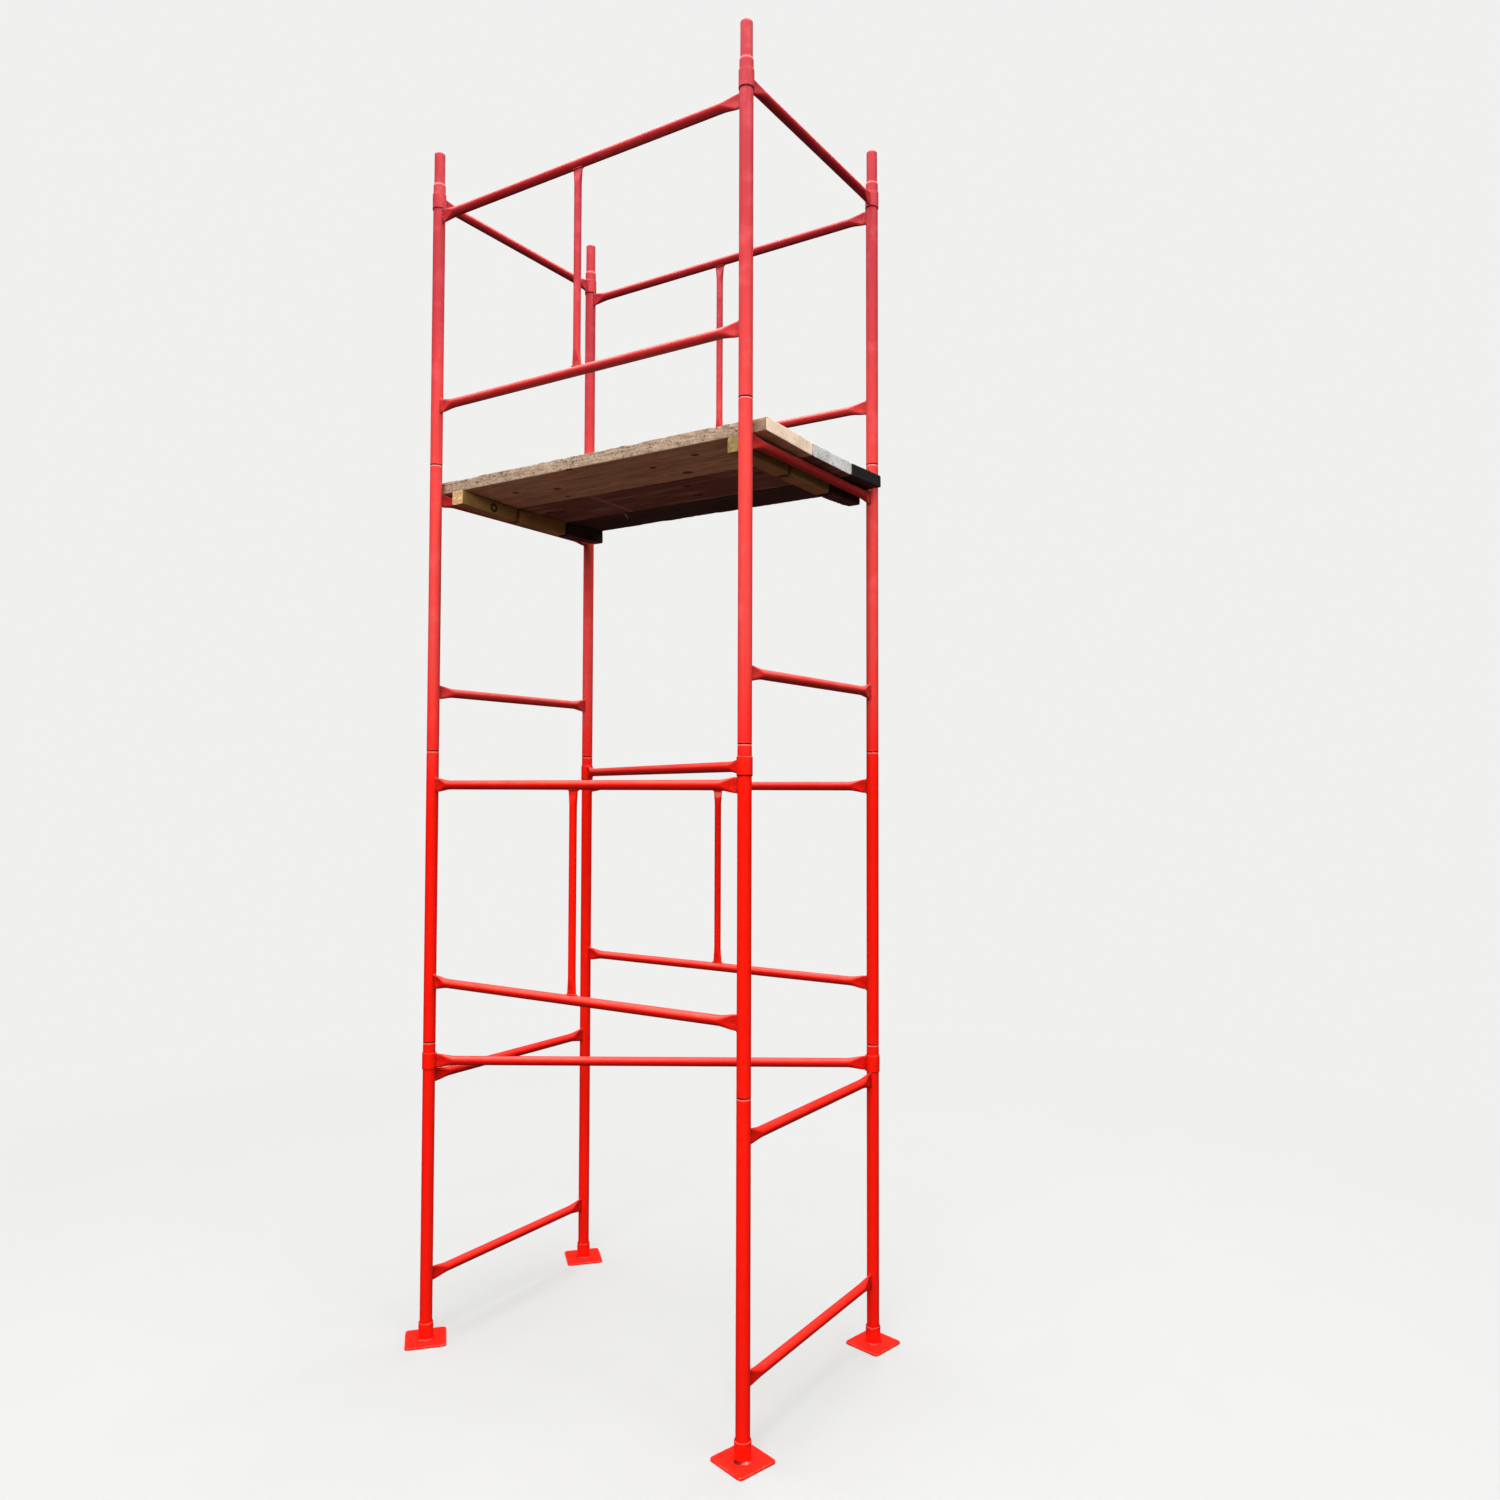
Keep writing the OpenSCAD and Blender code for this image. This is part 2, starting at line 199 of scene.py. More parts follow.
def stadium(width, height, count):
    """Even points (across, up) round a flat oval, from the middle of its +across side."""
    straight = max(height - width, 0.0)
    radius = width / 2
    perimeter = 2 * straight + math.pi * width
    points = []
    for i in range(count):
        run = (i / count * perimeter + straight / 2) % perimeter
        if run < straight:
            points.append((radius, run - straight / 2))
        elif run < straight + math.pi * radius:
            angle = (run - straight) / radius
            points.append((radius * math.cos(angle), straight / 2 + radius * math.sin(angle)))
        elif run < 2 * straight + math.pi * radius:
            points.append((-radius, straight / 2 - (run - straight - math.pi * radius)))
        else:
            angle = (run - 2 * straight - math.pi * radius) / radius
            points.append((-radius * math.cos(angle), -straight / 2 - radius * math.sin(angle)))
    return np.array(points)


def rounded_rectangle(half_width, half_height, radius, arc_steps, edge_shares):
    """Points and outward normals round a rectangle.

    edge_shares gives the places of points along a straight edge of a given length.
    """
    inner = np.array((half_width - radius, half_height - radius))
    corners = ((1, 1), (-1, 1), (-1, -1), (1, -1))

    def arc_point(corner, degrees):
        angle = math.radians(degrees)
        return inner * corner + radius * np.array((math.cos(angle), math.sin(angle)))

    points = []
    for i, corner in enumerate(corners):
        for k in range(arc_steps + 1):
            points.append(arc_point(corner, i * 90 + k * 90 / arc_steps))
        start = points[-1]
        end = arc_point(corners[(i + 1) % 4], (i + 1) * 90)
        for share in edge_shares(np.linalg.norm(end - start)):
            points.append(start + (end - start) * share)
    points = np.array(points)
    return points, (points - np.clip(points, -inner, inner)) / radius


def bead(geo, path, outward, radius, seed, tc_shift, sides=9):
    """Closed run of rippled weld along path."""
    tangent = np.roll(path, -1, 0) - np.roll(path, 1, 0)
    tangent /= np.linalg.norm(tangent, axis=1)[:, None]
    outer = outward - (outward * tangent).sum(1)[:, None] * tangent
    outer /= np.linalg.norm(outer, axis=1)[:, None]
    other = np.cross(tangent, outer)
    step = np.linalg.norm(np.roll(path, -1, 0) - path, axis=1)
    along = np.concatenate([[0], np.cumsum(step)[:-1]])
    perimeter = step.sum()
    ripples = max(8, round(perimeter / 0.0034))
    phase = along / perimeter * ripples * TAU
    swell = 0.10 * np.abs(np.sin(phase / 2)) + 0.16 * value_noise(along * 160, seed, 0, seed)
    swollen = (radius * (0.95 + swell))[:, None]
    angle = np.arange(sides) / sides * TAU
    cos, sin = np.cos(angle)[None, :], np.sin(angle)[None, :]
    section = cos[..., None] * outer[:, None, :] + 0.9 * sin[..., None] * other[:, None, :]
    rings = path[:, None, :] + swollen[..., None] * section
    run = np.repeat(along[:, None] + tc_shift, sides, 1)
    tc = np.stack([run, cos * swollen, sin * swollen], -1)
    geo.add(rings, tc, 0.15, 1.0, closed=True)


def pressed_bar(geo, start, end, up, *, radius, half_height, post_radius, pad_length,
                press_length, seed, painted_highlight_band=0.0):
    """Tube between two post axes, its ends pressed flat, cut to the posts and welded.

    The posts run along up. The last argument is extra wear in a band near the far end, which
    paints a pale highlight there.
    """
    start, end, up = (np.array(place, float) for place in (start, end, up))
    axis = end - start
    length = np.linalg.norm(axis)
    axis /= length
    side = np.cross(up, axis)
    sides = 40
    joint = post_radius + JOINT_GAP
    pad = post_radius + (pad_length + JOINT_GAP)

    # stations from the start to the middle, then mirrored
    half = [joint - 0.0006, joint + 0.002, joint + 0.005]
    half += [(joint + 0.005 + pad) / 2, pad - 0.0005] if painted_highlight_band else [pad - 0.002]
    half += [pad + press_length * k / 14 for k in range(15)]
    round_start, middle = pad + press_length, length / 2
    count = max(3, int((middle - round_start) / 0.05))
    half += list(np.linspace(round_start, middle, count))[1:]
    stations = half + [length - place for place in reversed(half[:-1])]

    rings, tc, wear, weld = [], [], [], []
    for station in stations:
        inward = min(station, length - station)
        roundness = float(smooth(pad - 0.004, pad + press_length, inward)) ** 0.75
        thick = PRESSED + (radius * 2 - PRESSED) * roundness
        # the wall keeps its length round as the tube is pressed
        full = thick + math.pi * (radius * 2 - thick) / 2
        flat_full = PRESSED + math.pi * (radius * 2 - PRESSED) / 2
        height = thick + (full - thick) * (half_height * 2 - PRESSED) / (flat_full - PRESSED)
        section = stadium(thick, height, sides)
        # the pressed faces sink a little along the middle
        dish = 0.0011 * (1 - roundness) * np.exp(-((section[:, 1]) / (half_height * 0.55)) ** 2)
        dish = dish * float(smooth(joint, joint + 0.012, inward))
        on_face = np.abs(section[:, 0]) > thick * 0.4
        across = section[:, 0] - np.sign(section[:, 0]) * dish * on_face
        if inward < joint + 0.001:
            # the end follows the round of the post
            reach = np.sqrt(np.maximum(joint ** 2 - across ** 2, 0)) - 0.0006
        else:
            reach = np.full(sides, inward)
        along = reach if station < length / 2 else length - reach
        rings.append(start + along[:, None] * axis + across[:, None] * side
                     + section[:, 1:] * up)
        tc.append(np.stack([along + seed * 1.37, across, section[:, 1]], -1))
        rubbed = 0.42 * float(smooth(pad + 0.03, joint, inward)) if inward < pad + 0.03 else 0.0
        if station > length / 2:
            rubbed += painted_highlight_band * float(smooth(joint + 0.005, joint + 0.010, inward)
                                        * smooth(joint + 0.028, joint + 0.020, inward))
        wear.append(np.full(sides, rubbed))
        weld.append(np.full(sides, 0.9 * float(smooth(pad + 0.004, joint, inward))))
    geo.add(rings, tc, wear, weld)

    # a weld round each end
    section = stadium(PRESSED + 0.0022, half_height * 2 + 0.0022, 132)
    reach = np.sqrt((joint + 0.0009) ** 2 - section[:, 0] ** 2)
    for k, (post, inwards) in enumerate(((start, axis), (end, -axis))):
        sideways = section[:, :1] * side
        path = post + reach[:, None] * inwards + sideways + section[:, 1:] * up
        outward = sideways + (section[:, 1:] * 0.35) * up + 0.0035 * inwards
        bead(geo, path, outward, 0.0026, seed * 7 + k, seed * 3.1)


# ---------------------------------------------------------------- shader helpers
def math_method(kind, swapped=False):
    """Method that adds a math node; swapped puts the value itself second."""
    def method(self, *others):
        values = (*others, self) if swapped else (self, *others)
        return self.shader.math(kind, *values)
    return method


class Value:
    """Output of a shader node. Arithmetic on it adds math nodes."""

    def __init__(self, shader, socket):
        self.shader, self.socket = shader, socket

    __add__ = math_method("ADD")
    __radd__ = math_method("ADD", swapped=True)
    __sub__ = math_method("SUBTRACT")
    __rsub__ = math_method("SUBTRACT", swapped=True)
    __mul__ = math_method("MULTIPLY")
    __truediv__ = math_method("DIVIDE")
    __rpow__ = math_method("POWER", swapped=True)
    __abs__ = math_method("ABSOLUTE")
    max = math_method("MAXIMUM")
    min = math_method("MINIMUM")
    above = math_method("GREATER_THAN")
    below = math_method("LESS_THAN")
    sqrt = math_method("SQRT")
    fract = math_method("FRACT")
    sine = math_method("SINE")

    def remap(self, span, to=(0.0, 1.0), soft=False):
        """Carry span onto to, clamped; soft eases both ends."""
        inputs = {"Value": self, "From Min": span[0], "From Max": span[1],
                  "To Min": to[0], "To Max": to[1]}
        kind = "SMOOTHSTEP" if soft else "LINEAR"
        return self.shader.value("MapRange", inputs, interpolation_type=kind)


class Shader:
    """A material built round one Principled BSDF."""

    def __init__(self, name):
        self.material = bpy.data.materials.new(name)
        self.material.use_nodes = True
        self.tree = self.material.node_tree
        self.tree.nodes.clear()
        self.output = self.node("OutputMaterial")
        self.bsdf = self.node("BsdfPrincipled")
        self.put(self.output.inputs[0], self.bsdf.outputs[0])

    def put(self, socket, value):
        """Link or set an input; colours are given without alpha."""
        if isinstance(value, Value):
            value = value.socket
        if isinstance(value, bpy.types.NodeSocket):
            self.tree.links.new(value, socket)
        else:
            socket.default_value = (*value, 1.0) if socket.type == "RGBA" else value

    def node(self, kind, inputs=None, **properties):
        node = self.tree.nodes.new("ShaderNode" + kind)
        for key, value in properties.items():
            setattr(node, key, value)
        for key, value in (inputs or {}).items():
            self.put(node.inputs[key], value)
        return node

    def value(self, kind, inputs=None, output=0, **properties):
        return Value(self, self.node(kind, inputs, **properties).outputs[output])

    def math(self, kind, *values):
        return self.value("Math", dict(enumerate(values)), operation=kind)

    def attribute(self, name, output="Fac"):
        return self.value("Attribute", output=output, attribute_name=name)

    def object_place(self):
        return self.value("TexCoord", output="Object")

    def normal(self):
        return self.xyz(self.value("NewGeometry", output="Normal"))

    def mapping(self, vector, scale, offset=(0, 0, 0)):
        return self.value("Mapping", {"Vector": vector, "Scale": scale, "Location": offset})

    def noise(self, vector, scale, detail=4.0, rough=0.55, offset=(0, 0, 0)):
        """Noise texture; a scale of three numbers stretches the place first."""
        if isinstance(scale, tuple):
            vector, scale = self.mapping(vector, scale, offset), 1.0
        inputs = {"Vector": vector, "Scale": scale, "Detail": detail, "Roughness": rough}
        return self.value("TexNoise", inputs)

    def mix(self, share, first, second):
        """Mix of two colours."""
        return self.value("Mix", {0: share, 6: first, 7: second}, output=2, data_type="RGBA")

    def blend(self, share, first, second):
        """Mix of two numbers."""
        return self.value("Mix", {0: share, 2: first, 3: second}, data_type="FLOAT")

    def xyz(self, vector):
        return [Value(self, out) for out in self.node("SeparateXYZ", {0: vector}).outputs]

    def bump(self, height, strength, distance):
        inputs = {"Height": height, "Strength": strength, "Distance": distance}
        return self.value("Bump", inputs)

    def finish(self, **inputs):
        """Set the BSDF's inputs, with underscores for spaces."""
        for key, value in inputs.items():
            self.put(self.bsdf.inputs[key.replace("_", " ")], value)
        return self.material


def srgb(*channels):
    """Linear colour from sRGB in 0..255."""
    shares = [channel / 255.0 for channel in channels]
    return tuple(c / 12.92 if c <= 0.04045 else ((c + 0.055) / 1.055) ** 2.4 for c in shares)


def darker(colour, share):
    return tuple(channel * share for channel in colour)


# ---------------------------------------------------------------- reading the frame
def node_points(node):
    mesh = NODES[node].data
    flat = np.zeros(len(mesh.vertices) * 3)
    mesh.vertices.foreach_get("co", flat)
    return flat.reshape(-1, 3)


def clusters(node, gap=0.05, dims=(0, 1)):
    """Vertices of a node in groups that lie within gap of each other along dims."""
    groups = []
    for point in node_points(node):
        for group in groups:
            if all(group.lo[k] - gap < point[k] < group.hi[k] + gap for k in dims):
                group.points.append(point)
                group.lo = np.minimum(group.lo, point)
                group.hi = np.maximum(group.hi, point)
                break
        else:
            groups.append(SimpleNamespace(points=[point], lo=point.copy(), hi=point.copy()))
    groups.sort(key=lambda group: (round(group.lo[0], 3), round(group.lo[1], 3)))
    return groups


def middle_of(lo, hi):
    return tuple((low + high) / 2 for low, high in zip(lo, hi))


def fit_turn(flat, low, high, steps):
    """Angle in radians, between low and high degrees, of the smallest rectangle round flat."""
    best_area, best_angle = None, None
    for angle in np.linspace(math.radians(low), math.radians(high), steps):
        cos, sin = math.cos(angle), math.sin(angle)
        area = (np.ptp(flat[:, 0] * cos + flat[:, 1] * sin)
                * np.ptp(-flat[:, 0] * sin + flat[:, 1] * cos))
        if best_area is None or area < best_area - 1e-12:
            best_area, best_angle = area, angle
    return best_angle


Upright = namedtuple("Upright", "x y foot top radius")


def read_upright(node):
    lo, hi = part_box(node)
    return Upright((lo.x + hi.x) / 2, (lo.y + hi.y) / 2, lo.z, hi.z, (hi.x - lo.x) / 2)


UPRIGHTS = {node: read_upright(node) for node in NODES if node.endswith("_upright")}


def upright_starts_at(*foot):
    """Whether some upright's foot lies within 10 mm of a place along each axis."""
    return any(all(abs(a - b) < 0.01 for a, b in zip(post[:3], foot))
               for post in UPRIGHTS.values())


# ---------------------------------------------------------------- metal materials
def red_paint(name, level=False):
    """Red enamel: deep near the ground, paler and chalky towards the top, rubbed at edges.

    Level bars get more dust and painted highlight above, and painted shade below.
    """
    m = Shader(name)
    place, tc = m.object_place(), m.attribute("tc", "Vector")
    wear, weld = m.attribute("wear"), m.attribute("weld")
    z = m.xyz(place)[2]
    blotch = m.noise(place, scale=(5.0, 5.0, 2.2), detail=3.0, rough=0.6)
    mottle = m.noise(place, scale=38.0, detail=4.0, rough=0.6)
    streak = m.noise(tc, scale=(5.0, 330.0, 330.0), detail=3.0, rough=0.6)
    runs = m.noise(tc, scale=(3.0, 120.0, 120.0), detail=2.0, rough=0.5, offset=(4.0, 2.0, 9.0))

    # the red fades with height, with an uneven border
    blotched_z = z + (blotch - 0.5) * 0.5
    fade = blotched_z.remap(span=(1.70, 2.15), soft=True)
    high = blotched_z.remap(span=(2.5, 3.45), soft=True)
    col = m.mix(z.remap(span=(0.6, 1.5)), srgb(244, 19, 2), srgb(231, 19, 2))
    col = m.mix(fade, col, srgb(217, 63, 58))
    col = m.mix(high, col, srgb(170, 48, 56))

    # uneven coats and a chalky bloom
    tone = (mottle * 0.6 + streak * 0.4).remap(span=(0.32, 0.68))
    col = m.mix((1.0 - tone) * 0.22, col, m.mix(fade, srgb(205, 12, 4), srgb(196, 40, 44)))
    bloom = m.noise(place, scale=14.0, detail=5.0, rough=0.65).remap(span=(0.50, 0.72))
    bloom = bloom * m.blend(fade, 0.05, 0.22)
    col = m.mix(bloom, col, m.mix(fade, srgb(255, 70, 44), srgb(240, 120, 122)))
    col = m.mix(runs.remap(span=(0.56, 0.72)) * 0.10, col, srgb(140, 10, 8))

    # tops get dust and a painted highlight, undersides a painted shade
    facing_up = m.normal()[2]
    if level:
        dust_and_highlight = facing_up.remap(span=(-0.02, 0.6), soft=True)
        dust_and_highlight = dust_and_highlight * z.remap(span=(0.83, 0.95), to=(0.05, 0.22))
    else:
        dust_and_highlight = facing_up.remap(span=(0.05, 0.8), soft=True)
        dust_and_highlight = dust_and_highlight * z.remap(span=(0.83, 0.87), to=(0.02, 0.16))
    dust_and_highlight_noise = m.noise(tc, scale=(18.0, 60.0, 60.0), detail=3.0, rough=0.6)
    dust_and_highlight = dust_and_highlight * dust_and_highlight_noise.remap(span=(0.3, 0.6), to=(0.7, 1.15))
    col = m.mix(dust_and_highlight, col, srgb(255, 150, 132))
    # undersides are painted darker, as shade
    if level:
        painted_underside_shade = facing_up + (runs - 0.5) * 0.25
        painted_underside_shade = painted_underside_shade.remap(span=(0.42, -0.25), to=(0.0, 0.55), soft=True)
        col = m.mix(painted_underside_shade, col, srgb(156, 4, 4))
        col = m.mix(facing_up.remap(span=(-0.1, -0.8), to=(0.0, 0.42)), col, srgb(88, 2, 3))
    else:
        col = m.mix(facing_up.remap(span=(-0.15, -0.9), to=(0.0, 0.5)), col, srgb(116, 3, 5))

    # rubbed edges: thin pale paint, then small chips down to dull steel and a little rust; the
    # pale paint also paints highlights on the rolled shoulders and strut ends
    scuff = m.noise(tc, scale=(260.0, 70.0, 70.0), detail=4.0, rough=0.65)
    rub_and_highlight = (scuff + wear * 0.34).remap(span=(0.68, 0.92)) * 0.52
    col = m.mix(rub_and_highlight, col, m.mix(fade, srgb(255, 118, 98), srgb(246, 148, 148)))
    bare_and_highlight = wear.remap(span=(1.9, 2.4))
    chip_wear = wear.min(2.3 - wear * 1.3)
    chip_noise = m.noise(place, scale=150.0, detail=5.0, rough=0.62)
    chip_noise = chip_noise + chip_wear.max(bare_and_highlight * 3.0) * 0.16
    chip = chip_noise.remap(span=(0.745, 0.765))
    halo = chip_noise.remap(span=(0.725, 0.75))
    col = m.mix(halo * 0.55, col, srgb(236, 120, 104))
    steel_noise = m.noise(place, scale=420.0, detail=3.0, rough=0.6)
    under = m.mix(steel_noise, srgb(74, 44, 34), srgb(118, 108, 104))
    # wear over 1.8 turns the steel pale pink: a painted highlight on a strut band and a socket
    # weld
    under = m.mix(wear.remap(span=(1.8, 2.3)), under, srgb(228, 150, 142))
    col = m.mix(chip, col, under)

    # dirt held by the ripples of the welds
    fine = m.noise(place, scale=300.0, detail=3.0, rough=0.6)
    coarse = m.noise(place, scale=62.0, detail=3.0, rough=0.55)
    fine = fine.remap(span=(0.45, 0.7), to=(0.0, 0.8))
    grime = weld.min(1.0) * fine.max(coarse.remap(span=(0.42, 0.58)))
    col = m.mix(grime * 0.5, col, m.mix(fade, srgb(120, 8, 8), srgb(112, 12, 26)))
    # black-red painted shade in the seams, inside the bores and under the rims
    seam_shade_noise = m.noise(place, scale=90.0, detail=3.0, rough=0.6)
    seam_shade = weld.remap(span=(1.15, 1.85)) * seam_shade_noise.remap(span=(0.25, 0.5), to=(0.75, 1.0))
    col = m.mix(seam_shade * 0.9, col, srgb(58, 8, 8))

    rough = m.blend(fade, 0.34, 0.46) + (mottle - 0.5) * 0.30
    rough = m.blend(chip, rough + rub_and_highlight * 0.2, 0.7)
    peel = m.noise(place, scale=620.0, detail=2.0, rough=0.5)
    height = streak * 0.55 + peel * 0.30 + mottle * 0.8 - chip * 0.9
    return m.finish(
        Base_Color=col, Roughness=rough, Metallic=chip * 0.25,
        Normal=m.bump(height, strength=0.32, distance=0.0006),
        Specular_IOR_Level=m.blend(high, 0.44, 0.34) * (1.0 - seam_shade * 0.8))


def zinc():
    """Dull zinc with spots of rust."""
    m = Shader("dull_zinc")
    place = m.object_place()
    grain = m.noise(place, scale=900.0, detail=4.0, rough=0.6)
    spots = m.noise(place, scale=240.0, detail=3.0, rough=0.6)
    ramp = m.node("ValToRGB", {"Fac": grain})
    stops = ramp.color_ramp.elements
    stops.remove(stops[1])
    stops[0].position = 0.3
    stops[0].color = (*srgb(120, 116, 104), 1.0)
    for position, colour in ((0.55, srgb(168, 164, 150)), (0.8, srgb(196, 194, 186))):
        stops.new(position).color = (*colour, 1.0)
    rust = spots.remap(span=(0.56, 0.66))
    return m.finish(
        Base_Color=m.mix(rust * 0.75, ramp.outputs["Color"], srgb(112, 66, 38)),
        Metallic=m.blend(rust, 0.9, 0.2),
        Roughness=grain.remap(span=(0.3, 0.7), to=(0.34, 0.62)),
        Normal=m.bump(grain, strength=0.3, distance=0.0002))


# ---------------------------------------------------------------- wood material
def knot_masks(m, place, centre, seed, share, knots):
    """Return the pull of the knots on the grain, their cores, their rims and a ripple.

    A share of the cells of a wide, irregular grid hold a knot each; knots lists more as
    (x, y, radius).
    """
    x, y, _ = m.xyz(place)
    ripple = (m.noise(place, scale=60.0, detail=2.0) - 0.5) * 0.008
    cells_x, cells_y = 3.4, 8.0  # cells per metre

    def bell(distance, width):
        return 2.71828 ** (distance * distance * (-1 / width ** 2))

    grid = m.value("CombineXYZ", {
        0: x * cells_x + seed * 2.13, 1: y * cells_y + seed * 1.71, 2: 0.0})
    cells = m.node("TexVoronoi", {"Vector": grid, "Scale": 1.0, "Randomness": 0.9},
                   voronoi_dimensions="2D")
    cell_x, cell_y, _ = m.xyz(cells.outputs["Position"])
    grid_x, grid_y, _ = m.xyz(grid)
    off_x = (grid_x - cell_x) / cells_x
    off_y = (grid_y - cell_y) / cells_y
    distance = (off_x * off_x * 0.45 + off_y * off_y).sqrt() + ripple
    chosen = m.xyz(cells.outputs["Color"])[0].above(1.0 - share)
    pull = bell(distance, width=0.022) * chosen
    core = distance.remap(span=(0.0085, 0.0105), to=(1.0, 0.0)) * chosen
    rim = abs(distance - 0.0098).remap(span=(0.0, 0.0017), to=(1.0, 0.0)) * chosen
    for knot_x, knot_y, radius in knots:
        off_x = x - (knot_x - centre[0])
        off_y = y - (knot_y - centre[1])
        distance = (off_x * off_x * 0.55 + off_y * off_y).sqrt() + ripple * 1.1
        pull = pull.max(bell(distance, width=radius * 2.6))
        core = core.max(distance.remap(span=(radius * 0.75, radius), to=(1.0, 0.0)))
        rim = rim.max(abs(distance - radius).remap(span=(0.0, 0.0018), to=(1.0, 0.0)))
    return pull, core, rim, ripple


def stripe_mask(m, place, centre, ripple, start, end, half_width):
    """A straight stripe from start to end, both (x, y)."""
    x, y, _ = m.xyz(place)
    length = math.hypot(end[0] - start[0], end[1] - start[1])
    way_x, way_y = (end[0] - start[0]) / length, (end[1] - start[1]) / length
    off_x, off_y = x - (start[0] - centre[0]), y - (start[1] - centre[1])
    along = off_x * way_x + off_y * way_y
    across = off_x * -way_y - off_y * -way_x + ripple * 0.4
    inside = abs(across).remap(span=(half_width * 0.7, half_width), to=(1.0, 0.0))
    return inside * (along.remap(span=(-0.006, 0.004))
                     * along.remap(span=(length - 0.004, length + 0.008), to=(1.0, 0.0)))


def paint_ring_mark(m, col, place, centre, ripple, facing_x, knot, y, z, radius):
    """A dark ring with a pale middle, on the +X face of the cleat at -X."""
    place_x, place_y, place_z = m.xyz(place)
    off_y, off_z = place_y - (y - centre[1]), place_z - (z - centre[2])
    distance = (off_y * off_y + off_z * off_z).sqrt() + ripple * 0.35
    side = place_x.below(0.0) * facing_x.remap(span=(0.4, 0.6))
    disc = distance.remap(span=(radius * 0.95, radius * 1.1), to=(1.0, 0.0))
    col = m.mix(disc * side * 0.8, col, darker(knot[0], 0.55))
    ring = abs(distance - radius * 0.82).remap(span=(0.0022, 0.0044), to=(1.0, 0.0))
    col = m.mix(ring * side * 0.97, col, darker(knot[1], 0.25))
    heart = distance.remap(span=(radius * 0.30, radius * 0.48), to=(1.0, 0.0))
    return m.mix(heart * side * 0.8, col, srgb(150, 104, 92))


def wood(name, centre, look, seed, pith, ring_width, knot_share, specks, knots=(),
         ring_mark=None, stripes=()):
    """Sawn board along X, coloured by look.

    pith is the (y, z) of the tree's middle from the board's; knots, ring_mark and
    stripes are at places in the frame.
    """
    m = Shader(name)
    place = m.mapping(m.object_place(), (1, 1, 1), tuple(-c for c in centre))
    x, y, z = m.xyz(place)
    shifts = (seed * 3.7, seed * 1.9, seed * 5.3)

    def grain(scale, order=(0, 1, 2), **settings):
        """Noise stretched along the board; order deals out the seed's shifts."""
        return m.noise(place, scale, offset=tuple(shifts[k] for k in order), **settings)

    pull, core, rim, ripple = knot_masks(m, place, centre, seed, knot_share, knots)

    # growth rings seen as lines and arches along the board
    slow_y = grain((2.2, 9.0, 9.0), detail=2.0, rough=0.5)
    slow_z = grain((3.1, 12.0, 12.0), (1, 2, 0), detail=2.0, rough=0.5)
    ring_y = y - pith[0] + (slow_y - 0.5) * 0.05
    ring_z = z - pith[1] + (slow_z - 0.5) * 0.03
    radius = (ring_y * ring_y + ring_z * ring_z).sqrt() + x * 0.011 + pull * 0.013
    radius = radius + (grain((1.2, 40.0, 40.0), detail=3.0) - 0.5) * 0.0035
    phase = (radius / ring_width).fract()
    late = phase.remap(span=(0.35, 0.9), soft=True) * phase.remap(span=(0.93, 1.0), to=(1.0, 0.0))
    late_noise = grain((1.0, 16.0, 16.0), (2, 0, 1), detail=2.0)
    late = late * late_noise.remap(span=(0.3, 0.65), to=(0.35, 1.0))
    fibre = grain((9.0, 520.0, 520.0), detail=3.0, rough=0.65)
    coarse_fibre = grain((2.5, 130.0, 130.0), detail=4.0, rough=0.6)

    # which face: from the direction it looks in
    facing_x, _, facing_z = m.normal()
    border = (m.noise(place, scale=45.0, detail=3.0) - 0.5) * 0.5
    broad = abs(facing_z).remap(span=(0.55, 0.7))
    down = (facing_z + border).remap(span=(-0.62, -0.5), to=(1.0, 0.0))
    upward = (facing_z + border).remap(span=(0.5, 0.62))
    plus_end = facing_x.remap(span=(0.6, 0.8))
    minus_end = facing_x.remap(span=(-0.6, -0.8))

    def grained(pair):
        """Pale and dark wood laid out by the rings and fibres."""
        tone = m.mix(late, *pair)
        tone = m.mix(fibre.remap(span=(0.35, 0.65)) * 0.34, tone, pair[1])
        lines = coarse_fibre.remap(span=(0.40, 0.66)) * 0.30
        return m.mix(lines, tone, darker(pair[1], 0.62))

    col = grained(look.edge)
    col = m.mix(upward, col, grained(look.top))
    col = m.mix(down, col, grained(look.under))

    # worn patches, fewer on the underside
    patch = m.blend(broad, grain((38.0, 55.0, 55.0), detail=4.0, rough=0.65),
                    grain((3.6, 34.0, 34.0), detail=5.0, rough=0.6))
    fine_patch = m.blend(broad, grain((110.0, 150.0, 150.0), (2, 0, 1), detail=4.0, rough=0.65),
                         grain((11.0, 150.0, 150.0), (2, 0, 1), detail=4.0, rough=0.65))
    worn = 1.0 - down * 0.25
    dull = m.mix(0.5, look.stain, look.edge[1])
    col = m.mix(patch.remap(span=(0.48, 0.62)) * worn * 0.55, col, dull)
    col = m.mix(patch.remap(span=(0.50, 0.34)) * worn * 0.4, col, look.edge[0])
    col = m.mix(fine_patch.remap(span=(0.52, 0.64)) * worn * 0.55, col, look.stain)
    if look.moss:
        # on the +X half
        moss = grain((70.0, 70.0, 70.0), detail=4.0, rough=0.6).remap(span=(0.36, 0.54))
        moss = x.above(0.0) * (1.0 - down) * (0.55 + moss * 0.4)
        col = m.mix(moss, col, look.moss)
    if look.corner:
        # the edges darken near the +X end
        corner = x + (patch - 0.5) * 0.12
        corner = corner.remap(span=(look.half - 0.085, look.half - 0.03), to=(0.0, 0.6))
        col = m.mix(corner * (1.0 - down.max(upward)), col, look.corner)

    # ends show the rings as arcs, with open pores
    pore = m.noise(place, scale=700.0, detail=2.0, rough=0.6)
    end_tone = late * 0.7 + pore.remap(span=(0.4, 0.7)) * 0.3
    col = m.mix(plus_end, col, m.mix(end_tone, *look.plus_end))
    col = m.mix(minus_end, col, m.mix(end_tone, *look.minus_end))

